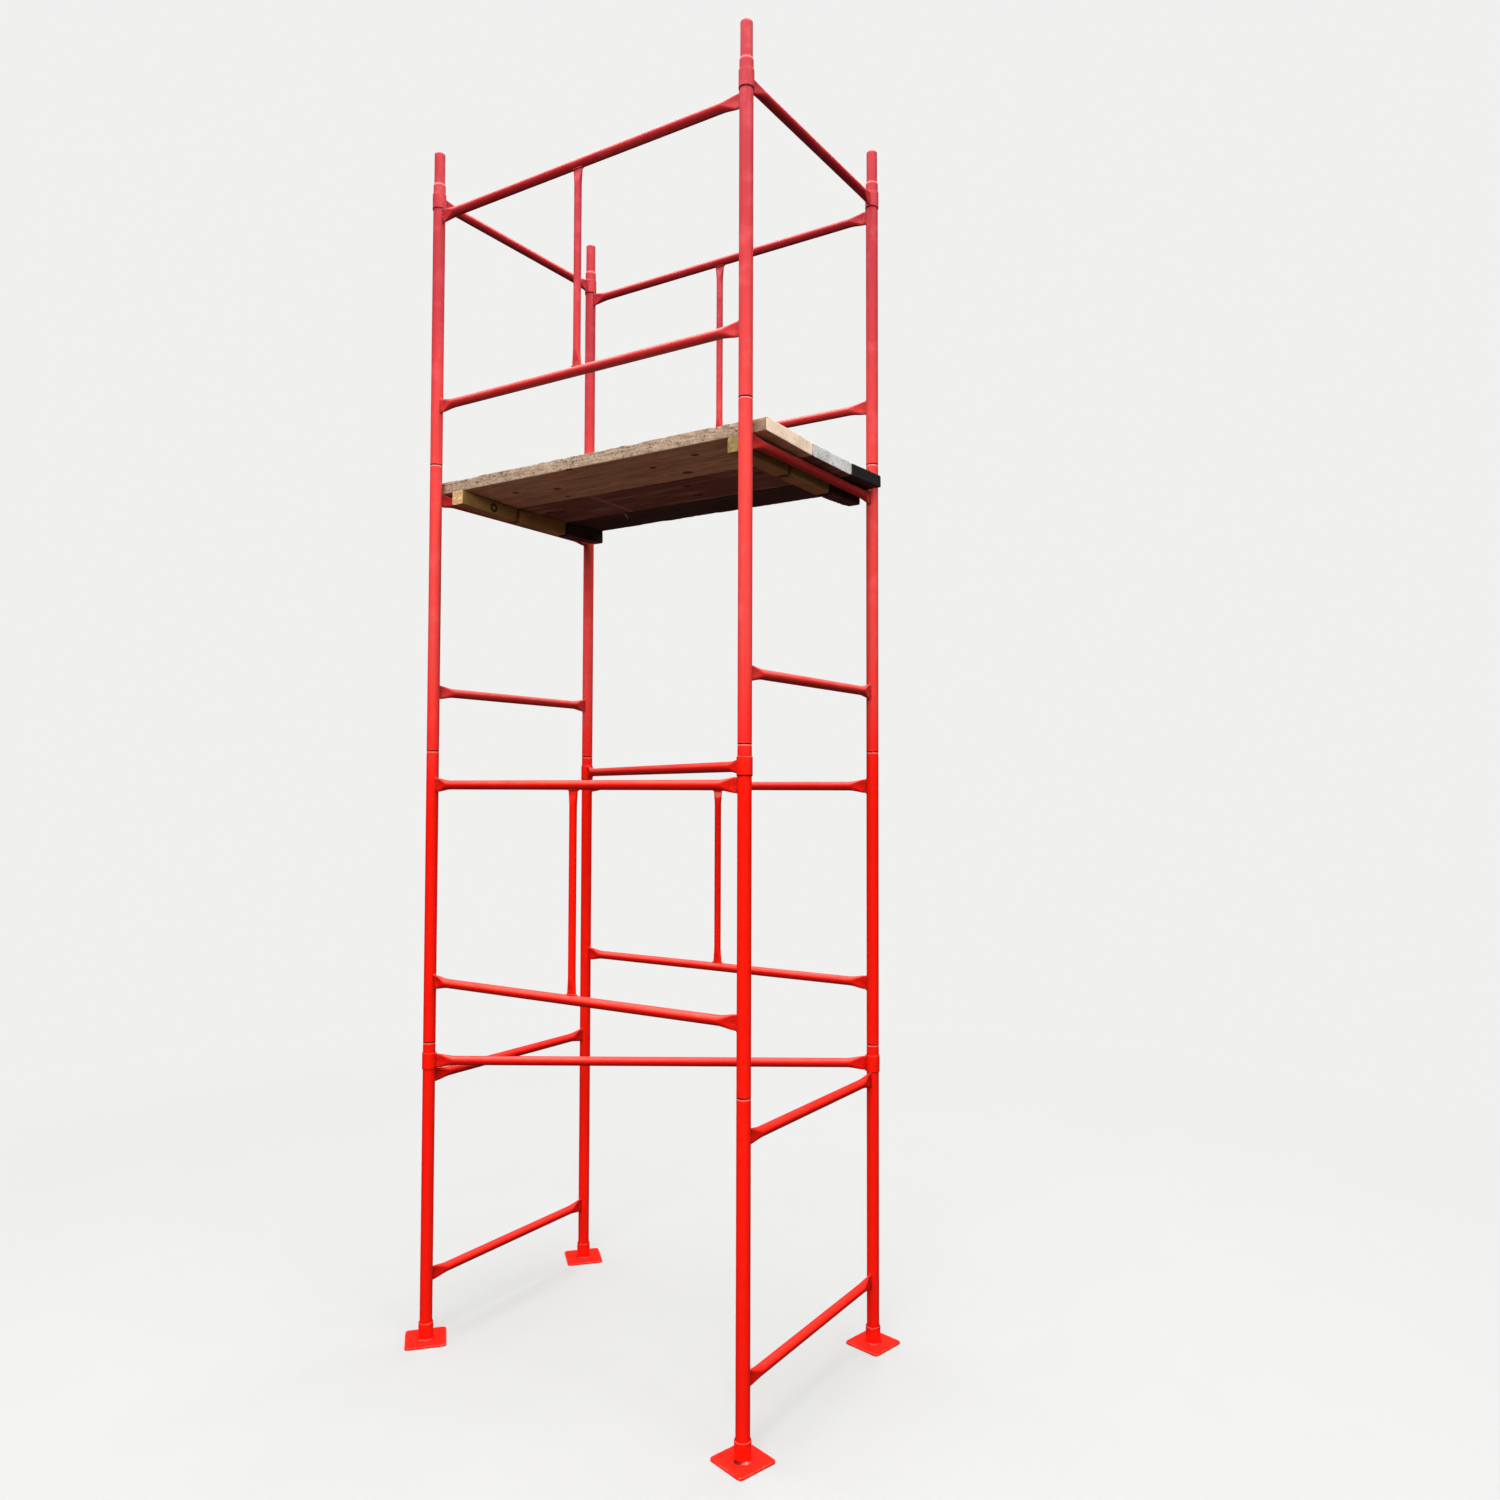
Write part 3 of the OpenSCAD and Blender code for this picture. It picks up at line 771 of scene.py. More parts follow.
    # knots and single marks
    knot_noise = m.noise(place, scale=(160.0, 160.0, 160.0), detail=3.0, rough=0.6)
    knot_tone = m.mix(knot_noise.remap(span=(0.35, 0.65)), *look.knot)
    col = m.mix(core * 0.9 * broad, col, knot_tone)
    col = m.mix(rim * 0.9 * broad, col, look.knot[1])
    if ring_mark:
        col = paint_ring_mark(m, col, place, centre, ripple, facing_x, look.knot, **ring_mark)
    for stripe in stripes:
        mask = stripe_mask(m, place, centre, ripple, *stripe["line"], stripe["half_width"])
        broken = m.noise(place, scale=140.0, detail=3.0, rough=0.6)
        mask = mask * down * broken.remap(span=(0.3, 0.5), to=(0.6, 1.0))
        col = m.mix(mask * stripe["amount"], col, stripe["colour"])

    # weather stains, specks of mould and splashes
    stain = grain((5.0, 14.0, 14.0), (1, 0, 2), detail=5.0, rough=0.62)
    col = m.mix(stain.remap(span=(0.48, 0.70)) * look.stain_amount, col, look.stain)
    mould = grain((105.0, 175.0, 175.0), detail=4.0, rough=0.7)
    mould_area = grain((9.0, 20.0, 20.0), detail=2.0, rough=0.5)
    speck = mould.remap(span=(0.555, 0.61)) * mould_area.remap(span=(0.36, 0.54))
    speck = speck * (1.0 - broad * 0.65) * (1.0 - plus_end * look.fresh)
    col = m.mix(speck * specks, col, look.speck)
    if look.splash:
        splash = grain((22.0, 30.0, 30.0), (2, 1, 0), detail=5.0, rough=0.6)
        near_end = x.remap(span=(look.half - 0.45, look.half - 0.05))
        splash = splash.remap(span=(0.635, 0.66)) * (upward * near_end)
        col = m.mix(splash * 0.75, col, look.splash)

    # drying cracks from the ends
    crack = grain((1.6, 210.0, 210.0), (0, 2, 1), detail=1.0, rough=0.5)
    near_end = abs(x).remap(span=(look.half - 0.16, look.half - 0.005))
    crack = crack.remap(span=(0.70, 0.735)) * near_end
    col = m.mix(crack * 0.85, col, darker(look.knot[1], 0.3))

    # saw marks across the board, raised grain
    sawn = ((x + z * 0.35) * 1750.0).sine()
    sawn = sawn * grain((11.0, 30.0, 30.0), detail=2.0).remap(span=(0.42, 0.62))
    height = fibre * 0.8 + coarse_fibre * 0.9 + late * 0.35 + sawn * 0.06 + mould * 0.5
    height = height - crack * 2.4 + core * 0.5
    return m.finish(
        Base_Color=col, Specular_IOR_Level=0.28,
        Roughness=coarse_fibre.remap(span=(0.3, 0.7), to=(look.rough, look.rough + 0.16)),
        Normal=m.bump(height, strength=0.6, distance=0.0009))


RED = red_paint("red_paint")
RED_BAR = red_paint("red_paint_bars", level=True)
ZINC = zinc()


# ---------------------------------------------------------------- uprights and sleeves
def make_upright(node):
    x, y, foot, top, radius = UPRIGHTS[node]
    bore = radius - WALL
    shoulder = foot + FRAME_HEIGHT
    # painted shadow in the seams where it meets the uprights below and above
    low = 2.0 if upright_starts_at(x, y, foot - FRAME_HEIGHT) else 0.0
    seam = 2.0 if upright_starts_at(x, y, shoulder) else 0.0
    cone = shoulder - SPIGOT_CONE * (WALL + 0.00003) / (radius - SPIGOT_RADIUS)
    spigot = cone + SPIGOT_CONE
    seat = shoulder - 0.0004
    # radius, z, wear, weld: up the outside, then down the inside
    profile = [
        (bore + 0.0002, foot, 0.8, low), (bore + 0.0007, foot, 0.9, low),
        (radius - 0.0004, foot + 0.0001, 0.9, low),
        (radius - 0.0001, foot + 0.0004, 1.2 - 0.2 * low, low),
        (radius, foot + 0.0008, 1.5 - 0.4 * low, low),
        (radius, foot + 0.0027, 0.9 - 0.1 * low, low * 0.98),
        (radius, foot + 0.0038, 0.5, low * 0.35), (radius, foot + 0.0046, 0.35, 0.0),
        (radius, foot + 0.010, 0.12, 0.0), (radius, foot + 0.03, 0.0, 0.0),
        (radius, foot + 0.06, 0.0, 0.0),
    ]
    profile += [(radius, z, 0.0, 0.0) for z in np.linspace(foot + 0.12, cone - 0.12, 12)]
    profile += [
        (radius, cone - 0.06, 0.0, 0.0), (radius, cone - 0.02, 0.06, 0.0),
        (radius, cone - 0.004, 0.15, 0.0), (radius, cone + 0.0002, 0.4, 0.0),
        (radius, cone + 0.0012, 1.2, 0.0),
    ]
    # the shoulder rolls in to the seat of the tube above
    # its wear of 1.6 paints a pale ring on the shoulder, for rubbed paint and for the highlight
    # the shoulder catches
    roll = seat - (cone + 0.0012)
    for degrees in (15, 30, 45, 60, 75):
        angle = math.radians(degrees)
        profile.append((bore + (radius - bore) * math.cos(angle),
                        cone + 0.0012 + roll * math.sin(angle),
                        1.6, seam if degrees == 75 else 0.0))
    profile += [
        (bore - 0.0001, seat + 0.0002, 0.6, seam),
        (SPIGOT_RADIUS + 0.00012, spigot - 0.0001, 0.5, seam),
        (SPIGOT_RADIUS, spigot + 0.0006, 0.3, seam * 0.5),
        (SPIGOT_RADIUS, spigot + 0.004, 0.12, 0.0),
    ]
    profile += [(SPIGOT_RADIUS, z, 0.08, 0.0) for z in np.linspace(spigot + 0.02, top - 0.02, 5)]
    profile += [
        (SPIGOT_RADIUS, top - 0.006, 0.25, 0.0), (SPIGOT_RADIUS, top - 0.0017, 0.8, 0.0),
        (SPIGOT_RADIUS - 0.0003, top - 0.0010, 1.0, 0.0),
        (SPIGOT_RADIUS - 0.0008, top - 0.00015, 1.0, 0.0),
        (SPIGOT_RADIUS - 0.0011, top, 1.0, 0.0),
        (SPIGOT_RADIUS - WALL + 0.0001, top, 0.9, 0.0),
        (SPIGOT_RADIUS - WALL, top - 0.0005, 0.8, 0.0),
        # down the inside, the bores are painted dark as shade
        (SPIGOT_RADIUS - WALL, top - 0.02, 0.3, 1.4),
        (SPIGOT_RADIUS - WALL, spigot - 0.006, 0.2, 2.0),
        (bore, cone - 0.006, 0.1, 2.0), (bore, shoulder - 0.2, 0.0, 2.0),
        (bore, foot + 0.2, 0.0, 2.0), (bore, foot + 0.0005, 0.5, low),
    ]
    geo = Geo()
    revolve(geo, profile, (x, y))

    # very slight waviness below the shoulder
    seed = int(abs(x * 991 + y * 577 + foot * 313) * 10) % 997
    points = geo.points[0]
    share = np.clip((points[:, 2] - foot) / FRAME_HEIGHT, 0, 1)
    envelope = np.sin(share * math.pi) ** 2 * (points[:, 2] < shoulder)
    angle = np.arctan2(points[:, 1] - y, points[:, 0] - x)
    cos, sin = np.cos(angle), np.sin(angle)
    dent = 0.00012 * value_noise(points[:, 2] * 9, cos * 1.3, sin * 1.3, seed) * envelope
    points[:, 0] += cos * dent
    points[:, 1] += sin * dent
    geo.piece(node, RED, "tube", sharp=30)


def sleeve_profile(bore, radius, bottom, top, shadow_rise):
    """(radius, z, wear, weld) of a sleeve with rubbed rims and a lower rim painted dark as
    shadow.
    """
    rim = 0.0006
    middle = (bottom + top) / 2
    return [
        (bore + rim, bottom, 0.5, 2.0), (radius - rim, bottom, 0.6, 2.0),
        (radius - 0.0001, bottom + 0.0003, 0.8, 2.0), (radius, bottom + rim, 0.9, 2.0),
        (radius, bottom + 0.0016 + shadow_rise, 0.8, 1.5 + min(shadow_rise * 400, 0.45)),
        (radius, bottom + 0.0024 + shadow_rise, 0.5, 0.6), (radius, bottom + 0.006, 0.12, 0.0),
        (radius, middle, 0.0, 0.0), (radius, top - 0.006, 0.12, 0.0),
        (radius, top - 0.002, 0.4, 0.0), (radius, top - rim, 0.9, 0.0),
        (radius - 0.0001, top - 0.0003, 1.0, 0.0), (radius - rim, top, 0.9, 0.4),
        (bore + rim, top, 0.8, 1.8), (bore, top - rim, 0.8, 2.0),
        (bore, middle, 0.2, 2.0), (bore, bottom + rim, 0.6, 2.0),
    ]


def make_sleeves(node):
    geo = Geo()
    # the dark band painted as shadow under each sleeve reaches higher on the upper sleeves
    shadow_rise = 0.0 if node.startswith("lower") else 0.0013
    for group in clusters(node):
        lo, hi = group.lo, group.hi
        profile = sleeve_profile(COLLAR_BORE, (hi[0] - lo[0]) / 2, lo[2], hi[2], shadow_rise)
        revolve(geo, profile, middle_of(lo, hi))
    geo.piece(node, RED, "pair", sharp=30)


# ---------------------------------------------------------------- bars
def make_rung(node):
    """Level bar between the two uprights of a frame."""
    prefix = node.rsplit("_", 2)[0] + "_"
    first, second = (UPRIGHTS[name] for name in sorted(UPRIGHTS) if name.startswith(prefix))
    lo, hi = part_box(node)
    z = (lo.z + hi.z) / 2
    geo = Geo()
    pressed_bar(
        geo, (first.x, first.y, z), (second.x, second.y, z), (0, 0, 1),
        radius=min(hi.x - lo.x, hi.y - lo.y) / 2, half_height=(hi.z - lo.z) / 2,
        post_radius=first.radius, pad_length=RUNG_PAD, press_length=BAR_PRESS,
        seed=int(abs(lo.x * 401 + lo.y * 733 + z * 97)) % 89 + 1)
    geo.piece(node, RED_BAR, "bar", sharp=40)


def make_struts(node):
    """Upright struts between the lower and upper rungs of a frame."""
    layer = node.split("_")[0]
    geo = Geo()
    for k, group in enumerate(clusters(node)):
        side = "front" if group.lo[1] < 0 else "rear"
        rungs = [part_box(f"{layer}_{side}_frame_{level}_rung") for level in ("lower", "upper")]
        low_z, high_z = ((lo.z + hi.z) / 2 for lo, hi in rungs)
        x, y, _ = middle_of(group.lo, group.hi)
        size = group.hi - group.lo
        pressed_bar(
            geo, (x, y, low_z), (x, y, high_z), (1, 0, 0),
            radius=size[1] / 2, half_height=size[0] / 2,
            post_radius=(rungs[1][1].y - rungs[1][0].y) / 2,
            pad_length=STRUT_PAD, press_length=STRUT_PRESS, seed=31 + k + len(layer),
            # a pale highlight painted near the top of the rear struts of the second layer
            painted_highlight_band=1.85 if side == "rear" and layer == "second" else 0.0)
    geo.piece(node, RED, "pair", sharp=40)


def make_sleeve_tube(node):
    """Level bar between two sleeves."""
    sleeves = clusters(node.replace("_tube", "_sleeves"))
    lo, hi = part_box(node)
    start, end = ((*middle_of(s.lo, s.hi)[:2], (lo.z + hi.z) / 2) for s in sleeves[:2])
    geo = Geo()
    pressed_bar(
        geo, start, end, (0, 0, 1), radius=BAR_RADIUS, half_height=(hi.z - lo.z) / 2,
        post_radius=(sleeves[0].hi[0] - sleeves[0].lo[0]) / 2,
        pad_length=SLEEVE_BAR_PAD, press_length=BAR_PRESS, seed=61 + len(node))
    geo.piece(node, RED_BAR, "bar", sharp=40)


# ---------------------------------------------------------------- bases
def make_plate(node):
    """Square plate with round corners, turned about Z."""
    lo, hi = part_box(node)
    centre_x, centre_y, middle_z = middle_of(lo, hi)
    flat = node_points(node)[:, :2] - (centre_x, centre_y)
    turn = fit_turn(flat, 0, 90, 1801)
    cos, sin = math.cos(turn), math.sin(turn)
    half = np.ptp(flat[:, 0] * cos + flat[:, 1] * sin) / 2
    outline, normals = rounded_rectangle(
        half, half, PLATE_CORNER, arc_steps=12,
        edge_shares=lambda length: [k / 12 for k in range(1, 12)])
    seed = int(abs(centre_x * 300 + centre_y * 170)) + 3
    rough = np.abs(0.0003 * value_noise(outline[:, 0] * 60, outline[:, 1] * 60, seed, seed))

    # inset, z, wear, share of the full size: from the middle of the underside outwards,
    # up the edge, then in to the middle of the top
    stations = [(0.0008, lo.z, 0.2, share) for share in (0.12, 0.4, 0.75, 0.97)]
    stations += [
        (0.0008, lo.z, 0.6, 1.0), (0.0002, lo.z + 0.0004, 0.8, 1.0),
        (0.0, lo.z + 0.0010, 0.6, 1.0), (0.0, hi.z - 0.0016, 0.5, 1.0),
        (0.0003, hi.z - 0.0006, 0.75, 1.0), (0.0009, hi.z - 0.0001, 0.75, 1.0),
        (0.0016, hi.z, 0.55, 1.0),
    ]
    stations += [(0.0016, hi.z - 0.0001, 0.45 if share > 0.9 else 0.12, share)
                 for share in (0.955, 0.9, 0.82, 0.72, 0.62, 0.52, 0.42, 0.3, 0.16)]
    rings, wear = [], []
    for inset, z, rubbed, share in stations:
        x, y = ((outline - normals * (inset + rough)[:, None]) * share).T
        height = np.full(len(outline), z)
        if share < 1.0 and z > middle_z:
            waves = layered_noise(x * 55, y * 55, np.full_like(x, seed), seed)
            height = np.minimum(z + 0.00035 * waves * min(1, (1 - share) * 6), hi.z)
        rings.append(np.stack(
            [centre_x + x * cos - y * sin, centre_y + x * sin + y * cos, height], 1))
        wear.append(np.full(len(outline), rubbed))
    geo = Geo()
    geo.add(rings, wear=wear)
    geo.piece(node, RED, "sheet", sharp=40)


def make_socket(node):
    """Round collar on a base plate, with a weld round its foot."""
    lo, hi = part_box(node)
    centre_x, centre_y, _ = middle_of(lo, hi)
    bottom, top = lo.z, hi.z
    bore, radius = COLLAR_BORE, SOCKET_RADIUS
    # radius, z, wear, weld
    collar = [
        (bore, bottom + 0.0002, 0.3, 2.0), (radius - 0.0006, bottom + 0.0001, 0.1, 1.0),
        (radius, bottom + 0.0012, 0.1, 1.0), (radius, bottom + 0.006, 0.1, 0.5),
        (radius, bottom + 0.02, 0.05, 0.0), (radius, top - 0.012, 0.1, 0.0),
        (radius, top - 0.003, 0.4, 0.0), (radius, top - 0.0008, 0.9, 0.0),
        (radius - 0.00015, top - 0.0004, 1.0, 0.0), (radius - 0.0005, top - 0.0001, 1.0, 0.0),
        (radius - 0.0009, top, 0.9, 0.6), (bore + 0.0006, top, 0.8, 1.7),
        (bore, top - 0.0006, 0.8, 2.0), (bore, top - 0.02, 0.2, 2.0),
    ]
    geo = Geo()
    revolve(geo, collar, (centre_x, centre_y))

    # the weld, a hollow fillet: radius past the collar's, height over its foot, weld
    fillet = [
        (-0.0008, 0.0002, 1.7), (0.0050, 0.00015, 1.9), (0.0049, 0.0007, 1.8),
        (0.0038, 0.0013, 1.0), (0.0026, 0.0020, 1.0), (0.0016, 0.0029, 1.0),
        (0.0008, 0.0041, 1.0), (0.0002, 0.0052, 1.0), (-0.0008, 0.0054, 1.0),
    ]
    seed = int(abs(centre_x * 210 + centre_y * 330)) + 5

    def ripple(angle, ring_radius, z):
        cos, sin = np.cos(angle), np.sin(angle)
        drift = 0.6 * value_noise(cos * 3, sin * 3, seed, seed)
        waves = np.abs(np.sin(angle * 44 / 2 + drift)) - 0.6
        lumps = value_noise(cos * 5, sin * 5, seed + 9, seed)
        outer = np.clip((ring_radius - (radius - 0.0002)) / 0.005, 0, 1)
        reach = outer * np.clip((0.0058 - (z - bottom)) / 0.005, 0, 1) + 0.35
        outside = ring_radius > radius + 0.0001
        size = (0.0006 * waves + 0.0008 * lumps) * reach * outside
        lift = np.where((z - bottom) > 0.0005, np.maximum(size * 0.6, -0.0004), 0.0)
        return size - 0.0005 * outside, lift

    profile = [(radius + out, bottom + rise, 0.1, weld) for out, rise, weld in fillet]
    revolve(geo, profile, (centre_x, centre_y), segments=180, wobble=ripple)
    if centre_x > 0 and centre_y < 0:
        # one stretch of this weld has lost its paint and is painted pale for a glint, and the
        # stretch next to it is painted dark as a shadow
        points = geo.points[-1]
        angle = np.arctan2(points[:, 1] - centre_y, points[:, 0] - centre_x)
        bare_and_highlight = np.exp(-((angle + 0.55) / 0.34) ** 2)
        painted_shadow = 2.0 * np.exp(-((angle + 1.65) / 0.68) ** 4)
        geo.wear[-1] = geo.wear[-1] + 2.3 * bare_and_highlight
        geo.weld[-1] = np.maximum(geo.weld[-1] * (1 - bare_and_highlight), painted_shadow)
    geo.piece(node, RED, "collar", sharp=45)


# ---------------------------------------------------------------- deck shapes
def turn_about_x(points, turn):
    cos, sin = math.cos(turn), math.sin(turn)
    x, y, z = points[..., 0], points[..., 1], points[..., 2]
    return np.stack([x, y * cos - z * sin, y * sin + z * cos], -1)


def turned_boxes(node, turn, gap=0.05, dims=(0,)):
    """Boxes of a node's solids in the frame turned about X."""
    boxes = []
    for group in clusters(node, gap, dims):
        points = turn_about_x(np.array(group.points), -turn)
        boxes.append((points.min(0), points.max(0)))
    return boxes


def timber_edge_shares(length):
    """Places of points along one side of a timber's section, closer at the corners."""
    shares = np.linspace(0, 1, max(3, int(length / 0.006)) + 1)[1:-1]
    first = min(0.002 / length, 0.3)
    inner = [share for share in shares if 0.003 / length < share < 1 - 0.003 / length]
    return [first] + inner + [1 - first]


def add_timber(geo, lo, hi, turn, seed, *, along, edge, chip, rough, top_chip, low_chip):
    """Sawn timber between lo and hi in the turned frame, along X (0) or Y (1).

    edge is the radius of its long edges, chip the depth of their chips and rough that
    of the raised grain. top_chip and low_chip scale the chips above and below.
    """
    axes = [along, 1 - along, 2]
    length, width, thickness = (hi - lo)[axes]
    middle = ((hi + lo) / 2)[axes]
    half_width, half_thick = width / 2, thickness / 2
    section, normals = rounded_rectangle(
        half_width, half_thick, edge, arc_steps=4, edge_shares=timber_edge_shares)
    across, up = section.T
    count = len(section)
    stations = np.concatenate([
        [0.0, 0.0006, 0.0015],
        np.linspace(edge + 0.001, length - edge - 0.001, max(6, int(length / 0.004))),
        [length - 0.0015, length - 0.0006, length]]) - length / 2
    from_corner = (half_width - np.abs(across)) + (half_thick - np.abs(up))
    near_corner = np.exp(-(from_corner / 0.0045) ** 2)
    quarter = (across > 0).astype(int) + 2 * (up > 0).astype(int)
    corners = np.arange(4)
    corner_chip = np.where(corners >= 2, top_chip, low_chip)
    end_round = edge * 0.9

    rings = []
    for x in stations:
        inward = length / 2 - abs(x)
        over = max(end_round - inward, 0)
        inset = end_round - math.sqrt(max(end_round ** 2 - over ** 2, 0))
        shift = seed * 3.3
        grain = layered_noise(np.full(count, x * 14 + shift), across * 90 + shift,
                              up * 90 + shift, seed)
        depth = rough * (0.5 + 0.5 * grain) * (1 - near_corner * 0.5)
        # chips and rubbed places along each long edge
        slow = value_noise(x * 17, corners * 5.1, seed, seed + corners)
        fast = value_noise(x * 70, corners * 3.7, seed, seed + corners + 9)
        fine = value_noise(x * 190, corners * 2.3, seed, seed + corners + 17)
        cut = np.clip(slow * 0.6 + fast * 0.6 + fine * 0.5 + 0.15, 0, None) * chip * 0.55
        cut = (cut + np.clip(slow - 0.55, 0, None) * chip * 2.0) * corner_chip
        end_cut = math.exp(-(inward / 0.02) ** 2) * chip * 0.35 * (1 + fast)
        depth = depth + (cut[quarter] + end_cut[quarter]) * near_corner
        outline = section - normals * (depth + inset)[:, None]
        run = np.full(count, x)
        if inward < 0.0005:
            pits = 0.5 + 0.5 * value_noise(across * 140, up * 140, 0, seed)
            run = run - np.sign(x) * 0.0006 * pits
        rings.append(np.column_stack([run, outline]))

    # ends: rings drawn in towards the middle line, then one face
    reach = half_width - half_thick
    caps = []
    for ring in (rings[0], rings[-1]):
        line = np.stack([ring[:, 0], np.clip(ring[:, 1], -reach, reach), np.zeros(count)], 1)
        caps.append([ring + (line - ring) * share for share in (0.12, 0.45, 0.8)])
    cap_wear = np.zeros((3, count))
    wear = np.concatenate([cap_wear, np.tile(near_corner, (len(rings), 1)), cap_wear])
    shape = np.array(caps[0][::-1] + rings + caps[1])
    placed = np.empty_like(shape)
    placed[..., axes] = shape + middle
    geo.add(turn_about_x(placed, turn), tc=shape, wear=wear)


def make_timbers(node, suffix, material, turn, seed, dims, **shape):
    """Every timber of a node; dims are the axes along which they lie apart."""
    geo = Geo()
    for k, (lo, hi) in enumerate(turned_boxes(node, turn, dims=dims)):
        add_timber(geo, lo, hi, turn, seed + k * 5, **shape)
    geo.piece(node, material, suffix, sharp=50)


def make_screws(node, turn):
    """Countersunk wood screws with a cross recess and a threaded shaft."""
    geo = Geo()
    sides = 40
    for lo, hi in turned_boxes(node, turn, gap=0.02, dims=(0, 1)):
        x, y, _ = middle_of(lo, hi)
        radius = (hi[0] - lo[0]) / 2
        tip, top = lo[2], hi[2]
        angle = np.arange(sides) / sides * TAU + (x * 37 + y * 91)

        def ring(ring_radius, z):
            return np.stack([x + ring_radius * np.cos(angle), y + ring_radius * np.sin(angle),
                             np.broadcast_to(z, sides)], 1)

        # the top of the head, from the middle outwards, with the recess pressed in
        rings = []
        for r in (0.0002, 0.0005, 0.0009, 0.0013, 0.0017, 0.0022, 0.0027,
                  radius - 0.0016, radius - 0.0009):
            arms = [np.clip(1.6 - np.abs(r * wave(angle - 0.4)) / 0.0005, 0, 1)
                    for wave in (np.cos, np.sin)]
            cross = np.maximum(*arms) * np.clip((0.0026 - r) / 0.0006, 0, 1)
            rings.append(ring(r, top - 0.0012 * cross * (1 - 0.3 * r / 0.0026)))

        # radius, z: rim, cone, shank, thread and tip
        profile = [
            (radius - 0.0004, top), (radius - 0.0001, top - 0.00015), (radius, top - 0.0004),
            (radius - 0.0005, top - 0.0007), (0.0026, top - 0.0036),
            (0.0021, top - 0.0046), (0.0020, top - 0.024),
        ]
        z = top - 0.026
        while z > tip + 0.007:
            profile += [(0.0015, z), (0.00225, z - 0.0011), (0.0015, z - 0.0022)]
            z -= 0.0025
        profile += [(0.0012, tip + 0.005), (0.0003, tip + 0.0002)]
        rings += [ring(*point) for point in profile]
        geo.add(turn_about_x(np.array(rings), turn))
    geo.piece(node, ZINC, "set", sharp=35)


# ---------------------------------------------------------------- build the metal parts
MAKERS = {
    "_upright": make_upright,
    "_rung": make_rung,
    "_struts": make_struts,
    "_tube": make_sleeve_tube,
    "_sleeves": make_sleeves,
    "_base_plate": make_plate,
    "_base_socket": make_socket,
}
for node in NODES:
    for ending, make in MAKERS.items():
        if node.endswith(ending):
            make(node)


# ---------------------------------------------------------------- build the deck
def linear(colour):
    """Linear form of an sRGB colour, or of a pair of them."""
    return tuple(map(linear, colour)) if isinstance(colour[0], tuple) else srgb(*colour)


def wood_look(base=None, **changes):
    """Look of a wood, or a changed copy of base. Tuples are sRGB colours or pairs.

    Pairs are (pale, dark). plus_end and minus_end are the ends at +X and -X, half the
    half length, fresh how far the +X end is kept free of specks.
    """
    values = dict(vars(base)) if base else dict(fresh=0.0, corner=None, moss=None, splash=None)
    for key, value in changes.items():
        values[key] = linear(value) if isinstance(value, tuple) else value
    return SimpleNamespace(**values)


front_lo, front_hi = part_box("front_deck_board")
HALF_BOARD = (front_hi.x - front_lo.x) / 2
WEATHERED = wood_look(
    edge=((182, 160, 140), (148, 122, 98)), top=((136, 122, 108), (96, 82, 70)),
    under=((200, 158, 122), (152, 112, 80)), plus_end=((252, 226, 204), (206, 170, 136)),
    minus_end=((196, 168, 138), (150, 118, 88)), knot=((78, 44, 28), (40, 22, 14)),
    stain=(98, 74, 56), speck=(62, 48, 40), corner=(122, 96, 74),
    fresh=0.75, half=HALF_BOARD, stain_amount=0.30, rough=0.74)
SPLASHED = wood_look(
    edge=((176, 170, 160), (130, 120, 108)), top=((128, 112, 96), (88, 74, 60)),
    under=((126, 70, 42), (84, 42, 24)), plus_end=((214, 214, 210), (186, 188, 186)),
    minus_end=((150, 124, 98), (108, 84, 62)), knot=((74, 42, 28), (42, 24, 16)),
    stain=(78, 58, 46), speck=(54, 44, 38), splash=(206, 208, 204),
    half=HALF_BOARD, stain_amount=0.35, rough=0.74)
DARK = wood_look(
    edge=((74, 62, 54), (46, 38, 34)), top=((72, 62, 55), (46, 39, 34)),
    under=((80, 52, 40), (50, 32, 25)), plus_end=((32, 29, 28), (20, 18, 17)),
    minus_end=((60, 48, 40), (36, 28, 24)), knot=((44, 28, 20), (24, 16, 12)),
    stain=(34, 28, 26), speck=(24, 20, 18), half=HALF_BOARD, stain_amount=0.5, rough=0.7)
PALE_CLEAT = wood_look(
    edge=((222, 186, 140), (188, 142, 96)), top=((200, 160, 116), (164, 122, 80)),
    under=((160, 116, 72), (122, 84, 50)), plus_end=((136, 104, 54), (100, 74, 36)),
    minus_end=((206, 166, 118), (170, 124, 80)), knot=((104, 62, 34), (40, 24, 14)),
    stain=(120, 84, 52), speck=(84, 58, 38), moss=(124, 108, 64),
    half=1.0, stain_amount=0.35, rough=0.7)
BROWN_CLEAT = wood_look(
    PALE_CLEAT, edge=((150, 104, 66), (112, 72, 42)), under=((168, 122, 76), (124, 86, 52)),
    plus_end=((150, 112, 60), (116, 82, 42)), minus_end=((140, 98, 62), (104, 68, 40)),
    moss=(110, 84, 50), stain_amount=0.45)
DARK_CLEAT = wood_look(
    PALE_CLEAT, edge=((70, 48, 40), (46, 30, 26)), top=((70, 52, 44), (44, 32, 28)),
    under=((100, 60, 50), (66, 40, 34)), plus_end=((64, 44, 36), (44, 30, 24)),
    minus_end=((62, 42, 34), (40, 28, 24)), stain=(28, 22, 20), speck=(20, 16, 14),
    moss=(40, 28, 22), stain_amount=0.55)

# marks on the undersides: a pale band where a batten once was, and a scratch
BAND = dict(line=((-0.184, -0.090), (-0.1945, 0.143)), half_width=0.010, amount=0.6,
            colour=srgb(166, 110, 88))
SCRATCH = dict(line=((-0.242, 0.160), (-0.278, 0.222)), half_width=0.0028, amount=0.6,
               colour=srgb(190, 180, 170))

